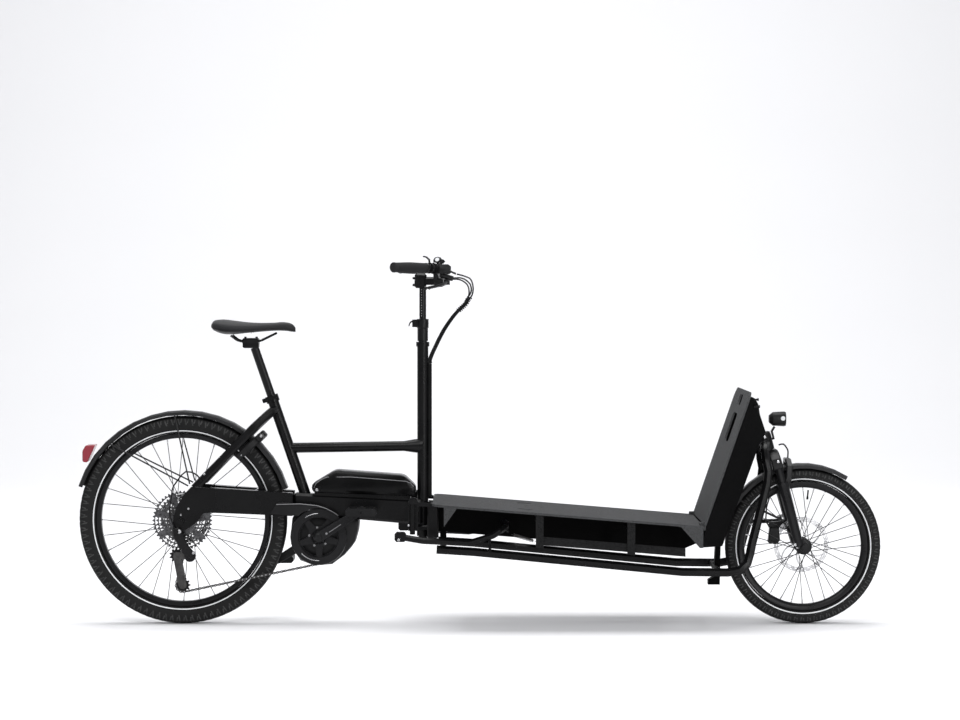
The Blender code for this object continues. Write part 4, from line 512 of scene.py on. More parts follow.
def dress_nodes():
    for entry in frame["record"]["subparts"]:
        item = frame["nodes"][entry["node"]]
        item.data.materials.clear()
        item.data.materials.append(FINISH[entry["material_slot"]])
        if "custom_normal" in item.data.attributes:
            item.data.attributes.remove(item.data.attributes["custom_normal"])
        weld = item.modifiers.new("weld", "WELD")
        weld.merge_threshold = WELD
        soften(item, FOLD)
    for paint, node_names in NODE_FINISH:
        for node_name in node_names:
            frame["nodes"][node_name].data.materials[0] = paint


dress_nodes()


# Wheels

WHEEL_STEPS = 160
STRIPE_TALL = 0.0034
STRIPE_THICK = 0.0007
BLOCK_LEVELS = (-0.0012, 0.0013)
BLOCK_FACES = ((1, 3, 7, 5), (0, 2, 3, 1), (4, 6, 7, 5), (0, 4, 5, 1), (2, 6, 7, 3))
# A rib's section: share of a step along the tyre, and height over the sidewall
LUG_SECTION = ((0.0, -0.0006), (0.0, 0.0007), (0.20, 0.0007), (0.20, -0.0006))
LUG_TOP = 0.0090
LUG_DROPS = ((LUG_TOP, 0.0135, 0.0180, 0.0225), (LUG_TOP, 0.0135, 0.0180, 0.0285))
LUG_SLANT = 42
# Rows of blocks: inner and outer edge in shares of half the width, then phase, length and slant in steps
TREAD_ROWS = (
    (0.055, 0.27, 0.0, 0.62, 0.25),
    (-0.055, -0.27, 0.5, 0.62, -0.25),
    (0.36, 0.60, 0.25, 0.56, 0.55),
    (-0.36, -0.60, 0.75, 0.56, -0.55),
    (0.68, 0.86, 0.6, 0.5, 0.35),
    (-0.68, -0.86, 0.1, 0.5, -0.35),
)
RIM_HALF = 0.0135
SPOKE_RADIUS = 0.00120
SPOKE_PITCH = 45
SPOKE_ELBOW = 0.86
# How far a spoke stands to one side at the flange and at the rim
SPOKE_SHIFT = (0.0018, 0.0013)
NIPPLE_RADIUS = 0.0021
HUB_BORE = 0.0078
HUB_STEPS = 64
ROTOR_HALF = 0.0009
ROTOR_BAND = (0.0155, 0.0120, 0.0095, 0.0060, 0.0035, 0.0)
ROTOR_CELLS = 72
ROTOR_WAVE = 0.0012
ROTOR_ARMS = 6


def tyre_section(radius, width, seat):
    """Half of the section, from the bead out over the sidewall to the crown."""
    h = width / 2
    return [
        (0.44 * h, seat + 0.0006),
        (0.62 * h, seat + 0.0020),
        (0.80 * h, seat + 0.0075),
        (0.95 * h, radius - 0.0265),
        (0.985 * h, radius - 0.0205),
        (0.93 * h, radius - 0.0125),
        (0.78 * h, radius - 0.0065),
        (0.52 * h, radius - 0.0028),
        (0.25 * h, radius - 0.0016),
        (0.0, radius - 0.0014),
    ]


def at_distance(line, wanted):
    """The place on a row of section points where the radius has this value."""
    for (y0, r0), (y1, r1) in zip(line, line[1:]):
        if r0 <= wanted <= r1:
            t = (wanted - r0) / (r1 - r0)
            return y0 + (y1 - y0) * t
    return line[0][0]


def tread_blocks(bm, axle, radius, width, count):
    """Raised blocks: a split middle row and slanted blocks on both shoulders."""
    line = sorted(tyre_section(radius, width, radius - 0.045))
    step = 2 * pi / count

    def level(y):
        """The tyre's radius at a place across it."""
        for (y0, r0), (y1, r1) in zip(line, line[1:]):
            if y0 <= abs(y) <= y1:
                return r0 + (r1 - r0) * (abs(y) - y0) / (y1 - y0)
        return line[-1][1]

    for near, far, phase, share, slant in TREAD_ROWS:
        for k in range(count):
            start = (k + phase) * step
            ring = []
            for part, shift in ((near, 0.0), (far, slant)):
                y = part * (width / 2)
                for edge in (0.0, share):
                    angle = start + (edge + shift * 0.5) * step
                    c, s = cos(angle), sin(angle)
                    for lift in BLOCK_LEVELS:
                        r = level(y) + lift
                        ring.append(bm.verts.new((axle.x + r * c, y, axle.z + r * s)))
            for face in BLOCK_FACES:
                bm.faces.new([ring[corner] for corner in face])


def side_lugs(bm, axle, half, radius, count):
    """Slanted ribs that run from the shoulder blocks down the sidewalls, every other one longer."""
    step = 360 / count
    for side in (-1, 1):
        for k in range(2 * count):
            long = k % 2
            start = step * (k / 2 + (0.25 if side > 0 else 0.0))
            rings = []
            for drop in LUG_DROPS[long]:
                r = radius - drop
                y = side * at_distance(half, r)
                turn = start - LUG_SLANT * (drop - LUG_TOP) * (1 if long else -1)
                rings.append([
                    bm.verts.new(spin_point(axle, r, turn + edge * step, y + side * lift))
                    for edge, lift in LUG_SECTION
                ])
            grid(bm, rings)


def make_tyre(name, axle, radius, width, seat, blocks, stripe):
    """The rubber with its tread, the ribs of the sidewalls and a pale stripe on both."""
    half = tyre_section(radius, width, seat)
    profile = half + [(-y, r) for y, r in reversed(half[:-1])]
    profile += [(-0.30 * width / 2, seat + 0.0004), (0.30 * width / 2, seat + 0.0004)]
    bm = bmesh.new()
    lathe(bm, profile, axle, steps=WHEEL_STEPS, closed=True)
    tread_blocks(bm, axle, radius, width, blocks)
    tyre = finish_piece(name + "_rubber", bm, RUBBER, name, TURNED)
    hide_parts(name)
    bm = bmesh.new()
    side_lugs(bm, axle, half, radius, blocks)
    # The ribs take the paler grey of the painted highlight
    finish_piece(name + "_lugs", bm, LUG_HIGHLIGHT, name)
    bm = bmesh.new()
    low, high = seat + stripe, seat + stripe + STRIPE_TALL
    inner, outer = at_distance(half, low), at_distance(half, high)
    for side in (-1, 1):
        ring = [
            (side * inner, low),
            (side * (inner + STRIPE_THICK), low),
            (side * (outer + STRIPE_THICK), high),
            (side * outer, high),
        ]
        lathe(bm, ring, axle, steps=WHEEL_STEPS, closed=True)
    finish_piece(name + "_stripe", bm, STRIPE, name)


def spoke_lines(axle, right, left, flange, rim, trailing, leading):
    """Start and end of each spoke: two crossed sets from each flange."""
    made = []
    for level, shift in ((right, 0.0), (left, SPOKE_PITCH / 4)):
        for k in range(360 // SPOKE_PITCH):
            first = SPOKE_PITCH * k
            second = first + SPOKE_PITCH / 2
            for start, end, layer in ((first, first + trailing, 1), (second, first + leading, -1)):
                low = spin_point(axle, SPOKE_ELBOW * flange, start + shift, level + SPOKE_SHIFT[0] * layer)
                high = spin_point(axle, rim + 0.001, end + shift, SPOKE_SHIFT[1] * layer)
                made.append((low, high))
    return made


def rotor(bm, axle, y, outer):
    """A brake disc: a slotted band with a waved edge, on swept arms round a bolted middle."""
    levels = (y - ROTOR_HALF, y + ROTOR_HALF)
    radii = [outer - drop for drop in ROTOR_BAND]
    for i in range(ROTOR_CELLS):
        a, b = 360 * i / ROTOR_CELLS, 360 * (i + 1) / ROTOR_CELLS
        dips = [abs(ROTOR_WAVE * cos(radians(10 * j))) for j in (i, i + 1)]
        for k, (low, high) in enumerate(zip(radii, radii[1:])):
            if (k == 1 and i % 3 == 0) or (k == 3 and i % 3 == 1):
                continue
            near, far = dips if k == 4 else (0.0, 0.0)
            wafer(bm, axle, [(low, a), (low, b), (high - far, b), (high - near, a)], levels)
    for k in range(ROTOR_ARMS):
        start = 360 * k / ROTOR_ARMS
        shares = [t / 8 for t in range(9)]
        arm = [(0.021 + (outer - 0.035) * f, start + 34 * f**1.3, 5.2 - 2.9 * f) for f in shares]
        left = [(r, a + spread) for r, a, spread in arm]
        right = [(r, a - spread) for r, a, spread in reversed(arm)]
        wafer(bm, axle, left + right, levels)
    bush(bm, axle, y, 0.0016, 0.0235, 0.0155)
    for k in range(6):
        dome(bm, spin_point(axle, 0.0195, 60 * k + 15, y + 0.0015), (0, 1, 0), 0.0030, 0.0022, 10)


def make_rim(name, axle, outer, inner):
    profile = [
        (RIM_HALF - 0.0018, outer - 0.0003),
        (RIM_HALF, outer - 0.0022),
        (RIM_HALF, outer - 0.0100),
        (RIM_HALF - 0.0022, outer - 0.0165),
        (RIM_HALF - 0.0070, inner + 0.0008),
        (0.0040, inner),
    ]
    profile += [(-y, r) for y, r in reversed(profile)]
    bm = bmesh.new()
    lathe(bm, profile, axle, steps=WHEEL_STEPS, closed=True)
    rim_piece = finish_piece(name + "_rim", bm, ALLOY, name, TURNED)
    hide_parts(name)


def make_hub(name, axle, right, left, right_end, left_end, flange, barrel):
    """A turned hub between two ends, with a flange for each set of spokes."""

    def disc(y):
        steps = ((-0.0026, 0.001), (-0.0016, 0.0), (0.0016, 0.0), (0.0026, 0.001))
        return [(y + shift, flange - drop) for shift, drop in steps]

    profile = [
        (right_end, HUB_BORE),
        (right_end, barrel - 0.002),
        (right_end + 0.001, barrel),
        (right - 0.0034, barrel + 0.002),
        *disc(right),
        (right + 0.0050, barrel + 0.002),
        (right + 0.0110, barrel - 0.003),
        (left - 0.0110, barrel - 0.003),
        (left - 0.0050, barrel + 0.002),
        *disc(left),
        (left + 0.0034, barrel + 0.001),
        (left_end - 0.001, barrel),
        (left_end, barrel - 0.002),
        (left_end, HUB_BORE),
    ]
    bm = bmesh.new()
    lathe(bm, profile, axle, steps=HUB_STEPS, closed=True)
    finish_piece(name + "_hub", bm, ALLOY, name, TURNED)


def make_wheel(name, axle, rim, disc_steel, hub, crossing, disc):
    """Rim, spokes, hub and brake disc; hub has both flanges' and ends' places, then two radii."""
    outer, inner = rim
    right, left, _, _, flange, _ = hub
    make_rim(name, axle, outer, inner)
    spokes, nipples = bmesh.new(), bmesh.new()
    for low, high in spoke_lines(axle, right, left, flange, inner, *crossing):
        tube(spokes, [low, high], SPOKE_RADIUS, 8)
        along = (high - low).normalized()
        tube(nipples, [high - along * 0.0125, high - along * 0.001], NIPPLE_RADIUS, 8)
    finish_piece(name + "_spokes", spokes, SPOKE, name, WIRE)
    finish_piece(name + "_nipples", nipples, STEEL, name, WIRE)
    make_hub(name, axle, *hub)
    bm = bmesh.new()
    rotor(bm, axle, *disc)
    merge(bm)
    finish_piece(name + "_rotor", bm, disc_steel, name, PRESSED)


def make_valve():
    places = [spin_point(FRONT_AXLE, radius, 84.4) for radius in (0.1795, 0.158, 0.149)]
    bm = bmesh.new()
    tube(bm, places[:2], 0.0026, 12)
    tube(bm, places[1:], 0.0035, 12)
    finish_piece("front_valve", bm, ALLOY, "front_wheel")


make_tyre("rear_tyre", REAR_AXLE, REAR_RADIUS, REAR_TYRE, REAR_RIM[0], blocks=92, stripe=0.0055)
make_tyre("front_tyre", FRONT_AXLE, FRONT_RADIUS, FRONT_TYRE, FRONT_RIM[0], blocks=70, stripe=0.0056)
make_wheel(
    "rear_wheel", REAR_AXLE, REAR_RIM, DARK_STEEL,
    hub=(-0.020, 0.034, -0.0255, 0.0490, 0.029, 0.016),
    crossing=(67.5, -45), disc=(0.0505, 0.080),
)
make_wheel(
    "front_wheel", FRONT_AXLE, FRONT_RIM, STEEL,
    hub=(-0.030, 0.026, -0.0400, 0.0350, 0.026, 0.014),
    crossing=(45, -22.5), disc=(0.0365, 0.090),
)
make_valve()


# Saddle, grips, hoses and spring

# Place, half width, top and underside
SADDLE_ROWS = (
    (-0.8570, 0.046, 0.9640, 0.9490),
    (-0.8480, 0.063, 0.9740, 0.9400),
    (-0.8200, 0.077, 0.9765, 0.9300),
    (-0.7850, 0.076, 0.9725, 0.9290),
    (-0.7480, 0.058, 0.9680, 0.9330),
    (-0.7050, 0.037, 0.9660, 0.9370),
    (-0.6600, 0.025, 0.9670, 0.9400),
    (-0.6250, 0.020, 0.9680, 0.9400),
    (-0.6020, 0.014, 0.9620, 0.9370),
    (-0.5916, 0.007, 0.9500, 0.9360),
)
SADDLE_RINGS = 56
# Half width and depth of the middle groove and of the line near each edge
GROOVE = (0.0065, 0.0040)
EDGE_LINE = (0.0022, 0.0012)
SEAM_RADIUS = 0.0011
STITCH_RADIUS = 0.0004
STITCH_HALF = 0.0010
GRIP_RIBS = 34
COLLAR = 38.0
RIB_TALL = 0.00035
HOSE_RADIUS = 0.0025
# The hoses' common run down the post, ahead and height
BUNDLE = [
    (-0.0400, 1.0400), (-0.0470, 1.0270), (-0.0795, 0.9940), (-0.1138, 0.9460),
    (-0.1420, 0.8915), (-0.1600, 0.8500), (-0.1605, 0.8362),
]
# Each hose's shift in the bundle, ahead and across, and its own run from the handlebar
HOSES = (
    (
        (-0.0044, -0.0010),
        [
            (-0.1125, -0.1580, 1.1000), (-0.0860, -0.1350, 1.1080), (-0.0560, -0.0850, 1.1080),
            (-0.0320, -0.0380, 1.0900), (-0.0290, -0.0120, 1.0640),
        ],
    ),
    (
        (0.0, 0.0016),
        [
            (-0.1125, 0.1580, 1.1000), (-0.0860, 0.1350, 1.1060), (-0.0600, 0.0850, 1.1020),
            (-0.0400, 0.0380, 1.0860), (-0.0350, 0.0120, 1.0620),
        ],
    ),
    (
        (0.0046, 0.0),
        [
            (-0.0715, -0.1565, 1.1210), (-0.0500, -0.1250, 1.1150), (-0.0300, -0.0700, 1.1050),
            (-0.0220, -0.0250, 1.0800), (-0.0250, 0.0, 1.0560),
        ],
    ),
)
WRAP_LINE = [(-0.0315, 0, 1.0490), (-0.0385, 0, 1.0400), (-0.0455, 0, 1.0270), (-0.0700, 0, 1.0035)]
WRAP_TURNS = 9
WRAP_RADIUS = 0.0082
WRAP_WIRE = 0.0014
SPRING_ENDS = (Vector((0.0980, -0.2080, 0.3060)), Vector((0.1745, -0.2080, 0.2835)))
SPRING_TURNS = 26
SPRING_RADIUS = 0.0051
SPRING_WIRE = 0.0008
COIL_STEPS = 14


def saddle_row(t):
    """Place, half width, top and underside at 0 to 1 along a smooth line through the rows."""
    spot = t * (len(SADDLE_ROWS) - 1)
    i = min(int(spot), len(SADDLE_ROWS) - 2)
    f = spot - i
    near = (max(i - 1, 0), i, i + 1, min(i + 2, len(SADDLE_ROWS) - 1))
    row = []
    for before, a, b, after in zip(*(SADDLE_ROWS[k] for k in near)):
        slope_a, slope_b = (b - before) / 2, (after - a) / 2
        row.append(
            a * (2 * f**3 - 3 * f**2 + 1)
            + slope_a * (f**3 - 2 * f**2 + f)
            + b * (3 * f**2 - 2 * f**3)
            + slope_b * (f**3 - f**2)
        )
    return row


def power(value, exponent):
    """A power that keeps the sign."""
    return copysign(abs(value) ** exponent, value)


def saddle_ring(x, half, top, low):
    """The saddle's section at one place, with the middle groove and a pressed line near each edge."""
    middle = low + 0.42 * (top - low)
    ring = []
    for k in range(40):
        a = 2 * pi * k / 40
        y = half * power(cos(a), 0.72)
        s = sin(a)
        if s < 0:
            z = middle + (middle - low) * power(s, 0.55)
            y *= 1.0 - 0.16 * abs(s)
        else:
            z = middle + (top - middle) * power(s, 0.80)
        if s > 0:
            fade = max(0.0, min(1.0, (x + 0.835) / 0.02, (-0.645 - x) / 0.02))
            z -= GROOVE[1] * (exp(-((y / GROOVE[0]) ** 2)) * fade)
            if x < -0.70:
                z -= EDGE_LINE[1] * exp(-(((abs(y) - 0.62 * half) / EDGE_LINE[0]) ** 2))
        ring.append((x, y, z))
    return ring


def make_saddle():
    """The cover, then the seam round its edge with a row of stitches above."""
    bm = bmesh.new()
    rows = [saddle_row(i / SADDLE_RINGS) for i in range(SADDLE_RINGS + 1)]
    grid(bm, [[bm.verts.new(point) for point in saddle_ring(*row)] for row in rows])
    saddle = finish_piece("saddle_pad", bm, COVER, "saddle", SOFT)
    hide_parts("saddle")
    bm = bmesh.new()
    for side in (-1, 1):
        seam = [(x, side * half * 0.985, low + 0.27 * (top - low)) for x, half, top, low in rows]
        tube(bm, seam[2:-1], SEAM_RADIUS, 6)
    for i in range(8, 84):
        x, half, top, low = saddle_row(i / 90)
        for side in (-1, 1):
            y, z = side * half * 0.992, low + 0.36 * (top - low)
            tube(bm, [(x - STITCH_HALF, y, z), (x + STITCH_HALF, y, z)], STITCH_RADIUS, 5)
    finish_piece("saddle_seam", bm, GRIP, "saddle", WIRE)


def make_grip(name, side):
    """A ribbed sleeve with a rounded end and a metal collar."""
    start, end = [Vector((x, side * y, z)) for x, y, z in GRIP_ENDS]
    heading = (end - start).normalized()
    reach = (end - start).length
    profile = [(0.0135, 0.0118)]
    for i in range(GRIP_RIBS * 4 + 1):
        t = i / (GRIP_RIBS * 4)
        swell = 0.0152 + 0.0009 * sin(pi * t) - 0.0004 * cos(2 * pi * t)
        profile.append((0.014 + (reach - 0.016) * t, swell + (RIB_TALL if i % 4 in (1, 2) else 0.0)))
    for beyond, radius in ((0.002, 0.0160), (0.006, 0.0158), (0.0082, 0.0135), (0.0085, 0.004)):
        profile.append((reach + beyond, radius))
    bm = bmesh.new()
    lathe(bm, profile, start, heading, 48)
    grip = finish_piece(name + "_sleeve", bm, GRIP, name, TURNED)
    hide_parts(name)
    bm = bmesh.new()
    collar = [(0.0032, 0.0117), (0.0032, 0.0150), (0.0042, 0.0158)]
    collar += [(0.0118, 0.0158), (0.0130, 0.0150), (0.0130, 0.0117)]
    lathe(bm, collar, start, heading, 48, closed=True)
    facing = -heading.cross(Vector((0, 0, 1))).normalized() * side
    dome(bm, start + heading * 0.008 + facing * 0.0152, facing, 0.0028, 0.0016, 10)
    finish_piece(name + "_collar", bm, ALLOY, name, COLLAR)


def coil(places, radius):
    """A wire wound round a row of places, each given with its heading."""
    side = Vector((0, 1, 0))
    wire = []
    for i, (spot, along) in enumerate(places):
        a = 2 * pi * i / COIL_STEPS
        wire.append(spot + (side * cos(a) + along.cross(side).normalized() * sin(a)) * radius)
    return wire


def make_hoses():
    """Three hoses that run down along the telescopic post, and the spiral wrap round their upper part."""
    bm = bmesh.new()
    for (ahead, across), lead in HOSES:
        line = smooth_line(lead + [(x + ahead, across, z) for x, z in BUNDLE], 6)
        tube(bm, line, HOSE_RADIUS, 12)
    hoses = bare_piece("hose_set", bm, PLASTIC, WIRE)
    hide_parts("hoses")

    middle = smooth_line(WRAP_LINE, 10)
    lengths = [0.0]
    for a, b in zip(middle, middle[1:]):
        lengths.append(lengths[-1] + (b - a).length)
    places = []
    for i in range(WRAP_TURNS * COIL_STEPS + 1):
        wanted = lengths[-1] * i / (WRAP_TURNS * COIL_STEPS)
        k = max(j for j in range(len(middle) - 1) if lengths[j] <= wanted + 1e-9)
        f = (wanted - lengths[k]) / (lengths[k + 1] - lengths[k])
        a, b = middle[k], middle[k + 1]
        places.append((a.lerp(b, f), (b - a).normalized()))
    bm = bmesh.new()
    tube(bm, coil(places, WRAP_RADIUS), WRAP_WIRE, 6)
    wrap = bare_piece("hose_wrap", bm, PLASTIC, WIRE)
    for piece in (hoses, wrap):
        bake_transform(piece)


def make_spring():
    """The stand's spring, wound over the middle eight tenths of its length."""
    low, high = SPRING_ENDS
    axis = (high - low).normalized()
    count = SPRING_TURNS * COIL_STEPS
    places = [(low.lerp(high, 0.10 + 0.80 * i / count), axis) for i in range(count + 1)]
    bm = bmesh.new()
    tube(bm, [low, *coil(places, SPRING_RADIUS), high], SPRING_WIRE, 8)
    spring = finish_piece("stand_coil", bm, DARK_STEEL, "stand_spring", WIRE)
    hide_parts("stand_spring")


make_saddle()
make_grip("grip_right", -1)
make_grip("grip_left", 1)
make_hoses()
make_spring()


# Chain, cassette and pulleys

# Levels and height of the side plates, and half length, radius and sides of a pin and its roller
INNER_PLATE = ((0.0015, 0.0023), 0.0037)
OUTER_PLATE = ((0.0026, 0.0034), 0.0041)
PIN_PARTS = ((0.0036, 0.0017, 8), (0.0013, 0.0037, 10))
RING_TEETH = 42
DRIVEN_TEETH = 21
PULLEY_TEETH = 11
COG_STEP = 0.00272
TOOTH_ROOT = -0.0036
TOOTH_TIP = 0.0034
CASSETTE_TEETH = (46, 40, 34, 30, 26, 24, 21, 18, 16, 13, 11)


def pitch_radius(teeth):
    return teeth * CHAIN_PITCH / (2 * pi)


# Centre, radius and sense of turning of each wheel on the chain's way
LOOP = (
    (CRANK_AXLE, pitch_radius(RING_TEETH), 1),
    (REAR_AXLE, pitch_radius(DRIVEN_TEETH), 1),
    (GUIDE_PULLEY, pitch_radius(PULLEY_TEETH), -1),
    (TENSION_PULLEY, pitch_radius(PULLEY_TEETH), 1),
)


def chain_points():
    """Even steps of one pin round the whole loop."""
    touch = []
    for (a, ra, sa), (b, rb, sb) in zip(LOOP, LOOP[1:] + LOOP[:1]):
        d = b - a
        normal = atan2(d.z, d.x) - acos((sa * ra - sb * rb) / hypot(d.x, d.z))
        c, s = cos(normal), sin(normal)
        ends = ((a, sa * ra), (b, sb * rb))
        touch.append([Vector((o.x + r * c, 0, o.z + r * s)) for o, r in ends])
    runs = []
    for i, (centre, radius, sense) in enumerate(LOOP):
        arrive, leave = touch[i - 1][1] - centre, touch[i][0] - centre
        first, last = atan2(arrive.z, arrive.x), atan2(leave.z, leave.x)
        runs.append((radius * ((sense * (last - first)) % (2 * pi)), centre, radius, sense, first))
        runs.append(((touch[i][1] - touch[i][0]).length, *touch[i]))
    total = sum(run[0] for run in runs)
    count = 2 * round(total / CHAIN_PITCH / 2)
    points = []
    for k in range(count):
        rest = k * total / count
        for run in runs:
            if rest <= run[0]:
                break
            rest -= run[0]
        if len(run) == 3:
            points.append(run[1].lerp(run[2], rest / run[0]))
        else:
            _, centre, radius, sense, first = run
            a = first + sense * rest / radius
            points.append(centre + Vector((radius * cos(a), 0, radius * sin(a))))
    return points


def link_outline(a, b, tall):
    """A side plate with round ends and a drawn-in waist."""
    along = (b - a).normalized()
    up = Vector((-along.z, 0, along.x))
    outline = []
    for centre, start, waist in ((b, -90, 0.66), (a, 90, -0.66)):
        for k in range(7):
            t = radians(start + 180 * k / 6)
            outline.append(centre + along * cos(t) * tall + up * sin(t) * tall)
        outline.append((a + b) / 2 + up * (waist * tall))
    return outline


def make_chain():
    """Inner and outer side plates in turn, on pins with rollers."""
    points = chain_points()
    plates, pins = bmesh.new(), bmesh.new()
    for k, a in enumerate(points):
        b = points[(k + 1) % len(points)]
        levels, tall = OUTER_PLATE if k % 2 else INNER_PLATE
        outline = link_outline(a, b, tall)
        for side in (-1, 1):
            shifts = [Vector((0, CHAIN_Y + side * level, 0)) for level in levels]
            grid(plates, [[plates.verts.new(p + shift) for p in outline] for shift in shifts])
        for half, radius, steps in PIN_PARTS:
            lathe(pins, [(CHAIN_Y - half, radius), (CHAIN_Y + half, radius)], a, steps=steps)
    band = finish_piece("chain_links", plates, DARK_STEEL, "chain", TURNED)
    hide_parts("chain")
    finish_piece("chain_pins", pins, STEEL, "chain")


def cog(bm, centre, teeth, y, thick, hole, windows):
    """A toothed plate with a round middle hole and, on large ones, windows between its arms."""
    radius = pitch_radius(teeth)
    root, tip = radius + TOOTH_ROOT, radius + TOOTH_TIP
    low, inner = root - 0.003, hole * radius
    count = 6 * teeth
    ring = []
    for k in range(count):
        wave = 0.5 + 0.5 * cos(2 * pi * k / 6)
        ring.append((root + (tip - root) * wave**1.4, 360 * k / count))
    levels = (y - thick / 2, y + thick / 2)
    for i, (r0, a0) in enumerate(ring):
        r1, a1 = ring[(i + 1) % count]
        wafer(bm, centre, [(low, a0), (low, a1), (r1, a1), (r0, a0)], levels)
        if not windows or (i * windows * 3 // count) % 3 == 0:
            wafer(bm, centre, [(inner, a0), (inner, a1), (low, a1), (low, a0)], levels)


def make_cassette():
    bm = bmesh.new()
    for k, teeth in enumerate(CASSETTE_TEETH):
        y = -0.0335 - COG_STEP * k
        cog(bm, REAR_AXLE, teeth, y, 0.0016, 0.36 if teeth > 30 else 0.42, 7 if teeth > 24 else 0)
    merge(bm)
    cone = [(-0.0625, 0.0080), (-0.0625, 0.0160), (-0.0320, 0.0300), (-0.0320, 0.0080)]
    lathe(bm, cone, REAR_AXLE, steps=48, closed=True)
    cogs = finish_piece("cassette_cogs", bm, BRIGHT_COG, "cassette", TOOTHED)
    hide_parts("cassette")


def make_pulley(name, centre):
    bm = bmesh.new()
    cog(bm, centre, PULLEY_TEETH, CHAIN_Y, 0.0022, 0.20, 0)
    merge(bm)
    bush(bm, centre, CHAIN_Y, 0.0030, 0.0034, 0.0062, 24)
    wheel = finish_piece(name + "_wheel", bm, PLASTIC, name, TOOTHED)
    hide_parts(name)


make_chain()
make_cassette()
make_pulley("guide_pulley", GUIDE_PULLEY)
make_pulley("tension_pulley", TENSION_PULLEY)


# Details

TREES = {}
POST_MARKS = 11
MARK_STEP = 0.0084
INSET = (-0.0008, 0.0003)
# Node, place, radius and height
SCREWS = (
    ("derailleur", -0.9560, 0.3035, 0.0065, 0.0030),
    ("derailleur", -0.9050, 0.2350, 0.0040, 0.0020),
    ("chainstay_right", -0.9280, 0.3750, 0.0036, 0.0020),
    ("chainstay_right", -0.9520, 0.3550, 0.0030, 0.0020),
    ("lock_body", -0.6970, 0.6060, 0.0045, 0.0020),
    ("lock_body", -0.7600, 0.5450, 0.0030, 0.0018),
    ("fork_lowers", 0.9950, 0.2560, 0.0050, 0.0022),
    ("fork_lowers", 1.0120, 0.2500, 0.0036, 0.0020),
    ("fork_crown", 0.9310, 0.5700, 0.0055, 0.0030),
    ("fork_crown", 0.9490, 0.5250, 0.0050, 0.0028),
    ("head_tube", 0.9120, 0.6000, 0.0045, 0.0024),
    ("battery", -0.5210, 0.4330, 0.0055, 0.0024),
    ("main_beam", -0.2250, 0.3300, 0.0036, 0.0020),
    ("stand", -0.2550, 0.2880, 0.0045, 0.0022),
    ("seatstay_right", -0.8800, 0.4900, 0.0034, 0.0018),
    ("saddle", -0.7300, 0.9350, 0.0022, 0.0010),
)


def tree_of(node_name):
    """A search tree of one of the model's nodes."""
    if node_name not in TREES:
        obj = frame["nodes"][node_name]
        corners = [obj.matrix_world @ v.co for v in obj.data.vertices]
        TREES[node_name] = BVHTree.FromPolygons(corners, [tuple(p.vertices) for p in obj.data.polygons])
    return TREES[node_name]


def from_side(node_name, x, z, side=-1):
    """The side of a node seen along y at this place, or else the nearest place on its outer face."""
    tree = tree_of(node_name)
    spot, normal, _, _ = tree.ray_cast(Vector((x, side * 1.0, z)), Vector((0, -side, 0)))
    if spot is None:
        obj = frame["nodes"][node_name]
        reach = max(side * (obj.matrix_world @ Vector(corner)).y for corner in obj.bound_box)
        spot, normal, _, _ = tree.find_nearest(Vector((x, side * reach, z)))
    return spot, normal


def make_screws():
    """Round screw heads with a socket, each on the right side of a node, and the saddle's on both."""
    made = {}
    for node_name, x, z, radius, height in SCREWS:
        body = BODY_OF[node_name]
        if body not in made:
            made[body] = node_name, bmesh.new()
        bm = made[body][1]
        ring = [
            (-0.0012, radius),
            (0.55 * height, radius),
            (height, 0.78 * radius),
            (height, 0.44 * radius),
            (0.35 * height, 0.40 * radius),
        ]
        for side in (-1, 1) if node_name == "saddle" else (-1,):
            spot, _ = from_side(node_name, x, z, side)
            lathe(bm, ring, spot, (0, side, 0), 14)
    for body, (node_name, bm) in made.items():
        finish_piece("bright_screws_" + body, bm, STEEL, node_name, TOOTHED)


def bead(name, node_name, line, radius):
    """A thin raised line of pale grey metal along the side of a node, a painted highlight on an edge or
    groove.
    """
    bm = bmesh.new()
    tube(bm, [from_side(node_name, x, z)[0] for x, z in line], radius, 8)
    finish_piece(name, bm, GREY_ALLOY, node_name, WIRE)


def block(bm, centre, size, edge):
    """A box with bevelled edges."""
    a, b, c = (0.5 * s for s in size)
    outline = [(-a + edge, -c), (a - edge, -c), (a, -c + edge), (a, c - edge)]
    outline += [(-u, -w) for u, w in outline]
    rings = []
    for level, inset in ((-b, edge), (-b + edge, 0.0), (b - edge, 0.0), (b, edge)):
        rings.append([
            bm.verts.new(Vector(centre) + Vector((u * (1 - inset / a), level, w * (1 - inset / c))))
            for u, w in outline
        ])
    grid(bm, rings)


def make_clamp_lever():
    """The short hooked lever of the height clamp."""
    outline = [
        (-0.2070, 0.9715), (-0.2160, 0.9735), (-0.2235, 0.9700), (-0.2275, 0.9630), (-0.2290, 0.9550),
        (-0.2262, 0.9545), (-0.2243, 0.9612), (-0.2205, 0.9665), (-0.2150, 0.9685), (-0.2070, 0.9665),
    ]
    bm = bmesh.new()
    grid(bm, [[bm.verts.new((x, y, z)) for x, z in outline] for y in (-0.0170, -0.0069)])
    lever = finish_piece("height_hook", bm, ALLOY, "clamp_lever", TURNED)
    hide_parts("clamp_lever")


def make_lamp_parts():
    """The headlight's lens and its side windows."""
    lens = [(0.0, 0.0190), (0.0008, 0.0190), (0.0016, 0.0150), (0.0020, 0.0080)]
    window = [(-0.0010, 0.0070), (0.0004, 0.0070), (0.0010, 0.0050), (0.0012, 0.0020)]
    bm = bmesh.new()
    lathe(bm, lens, (0.9795, 0, 0.6575), (1, 0, 0), 40)
    for side in (-1, 1):
        spot, _ = from_side("headlight", 0.9700, 0.6600, side)
        lathe(bm, window, spot, (0, side, 0), 24)
    finish_piece("lamp_lens", bm, PALE, "headlight")


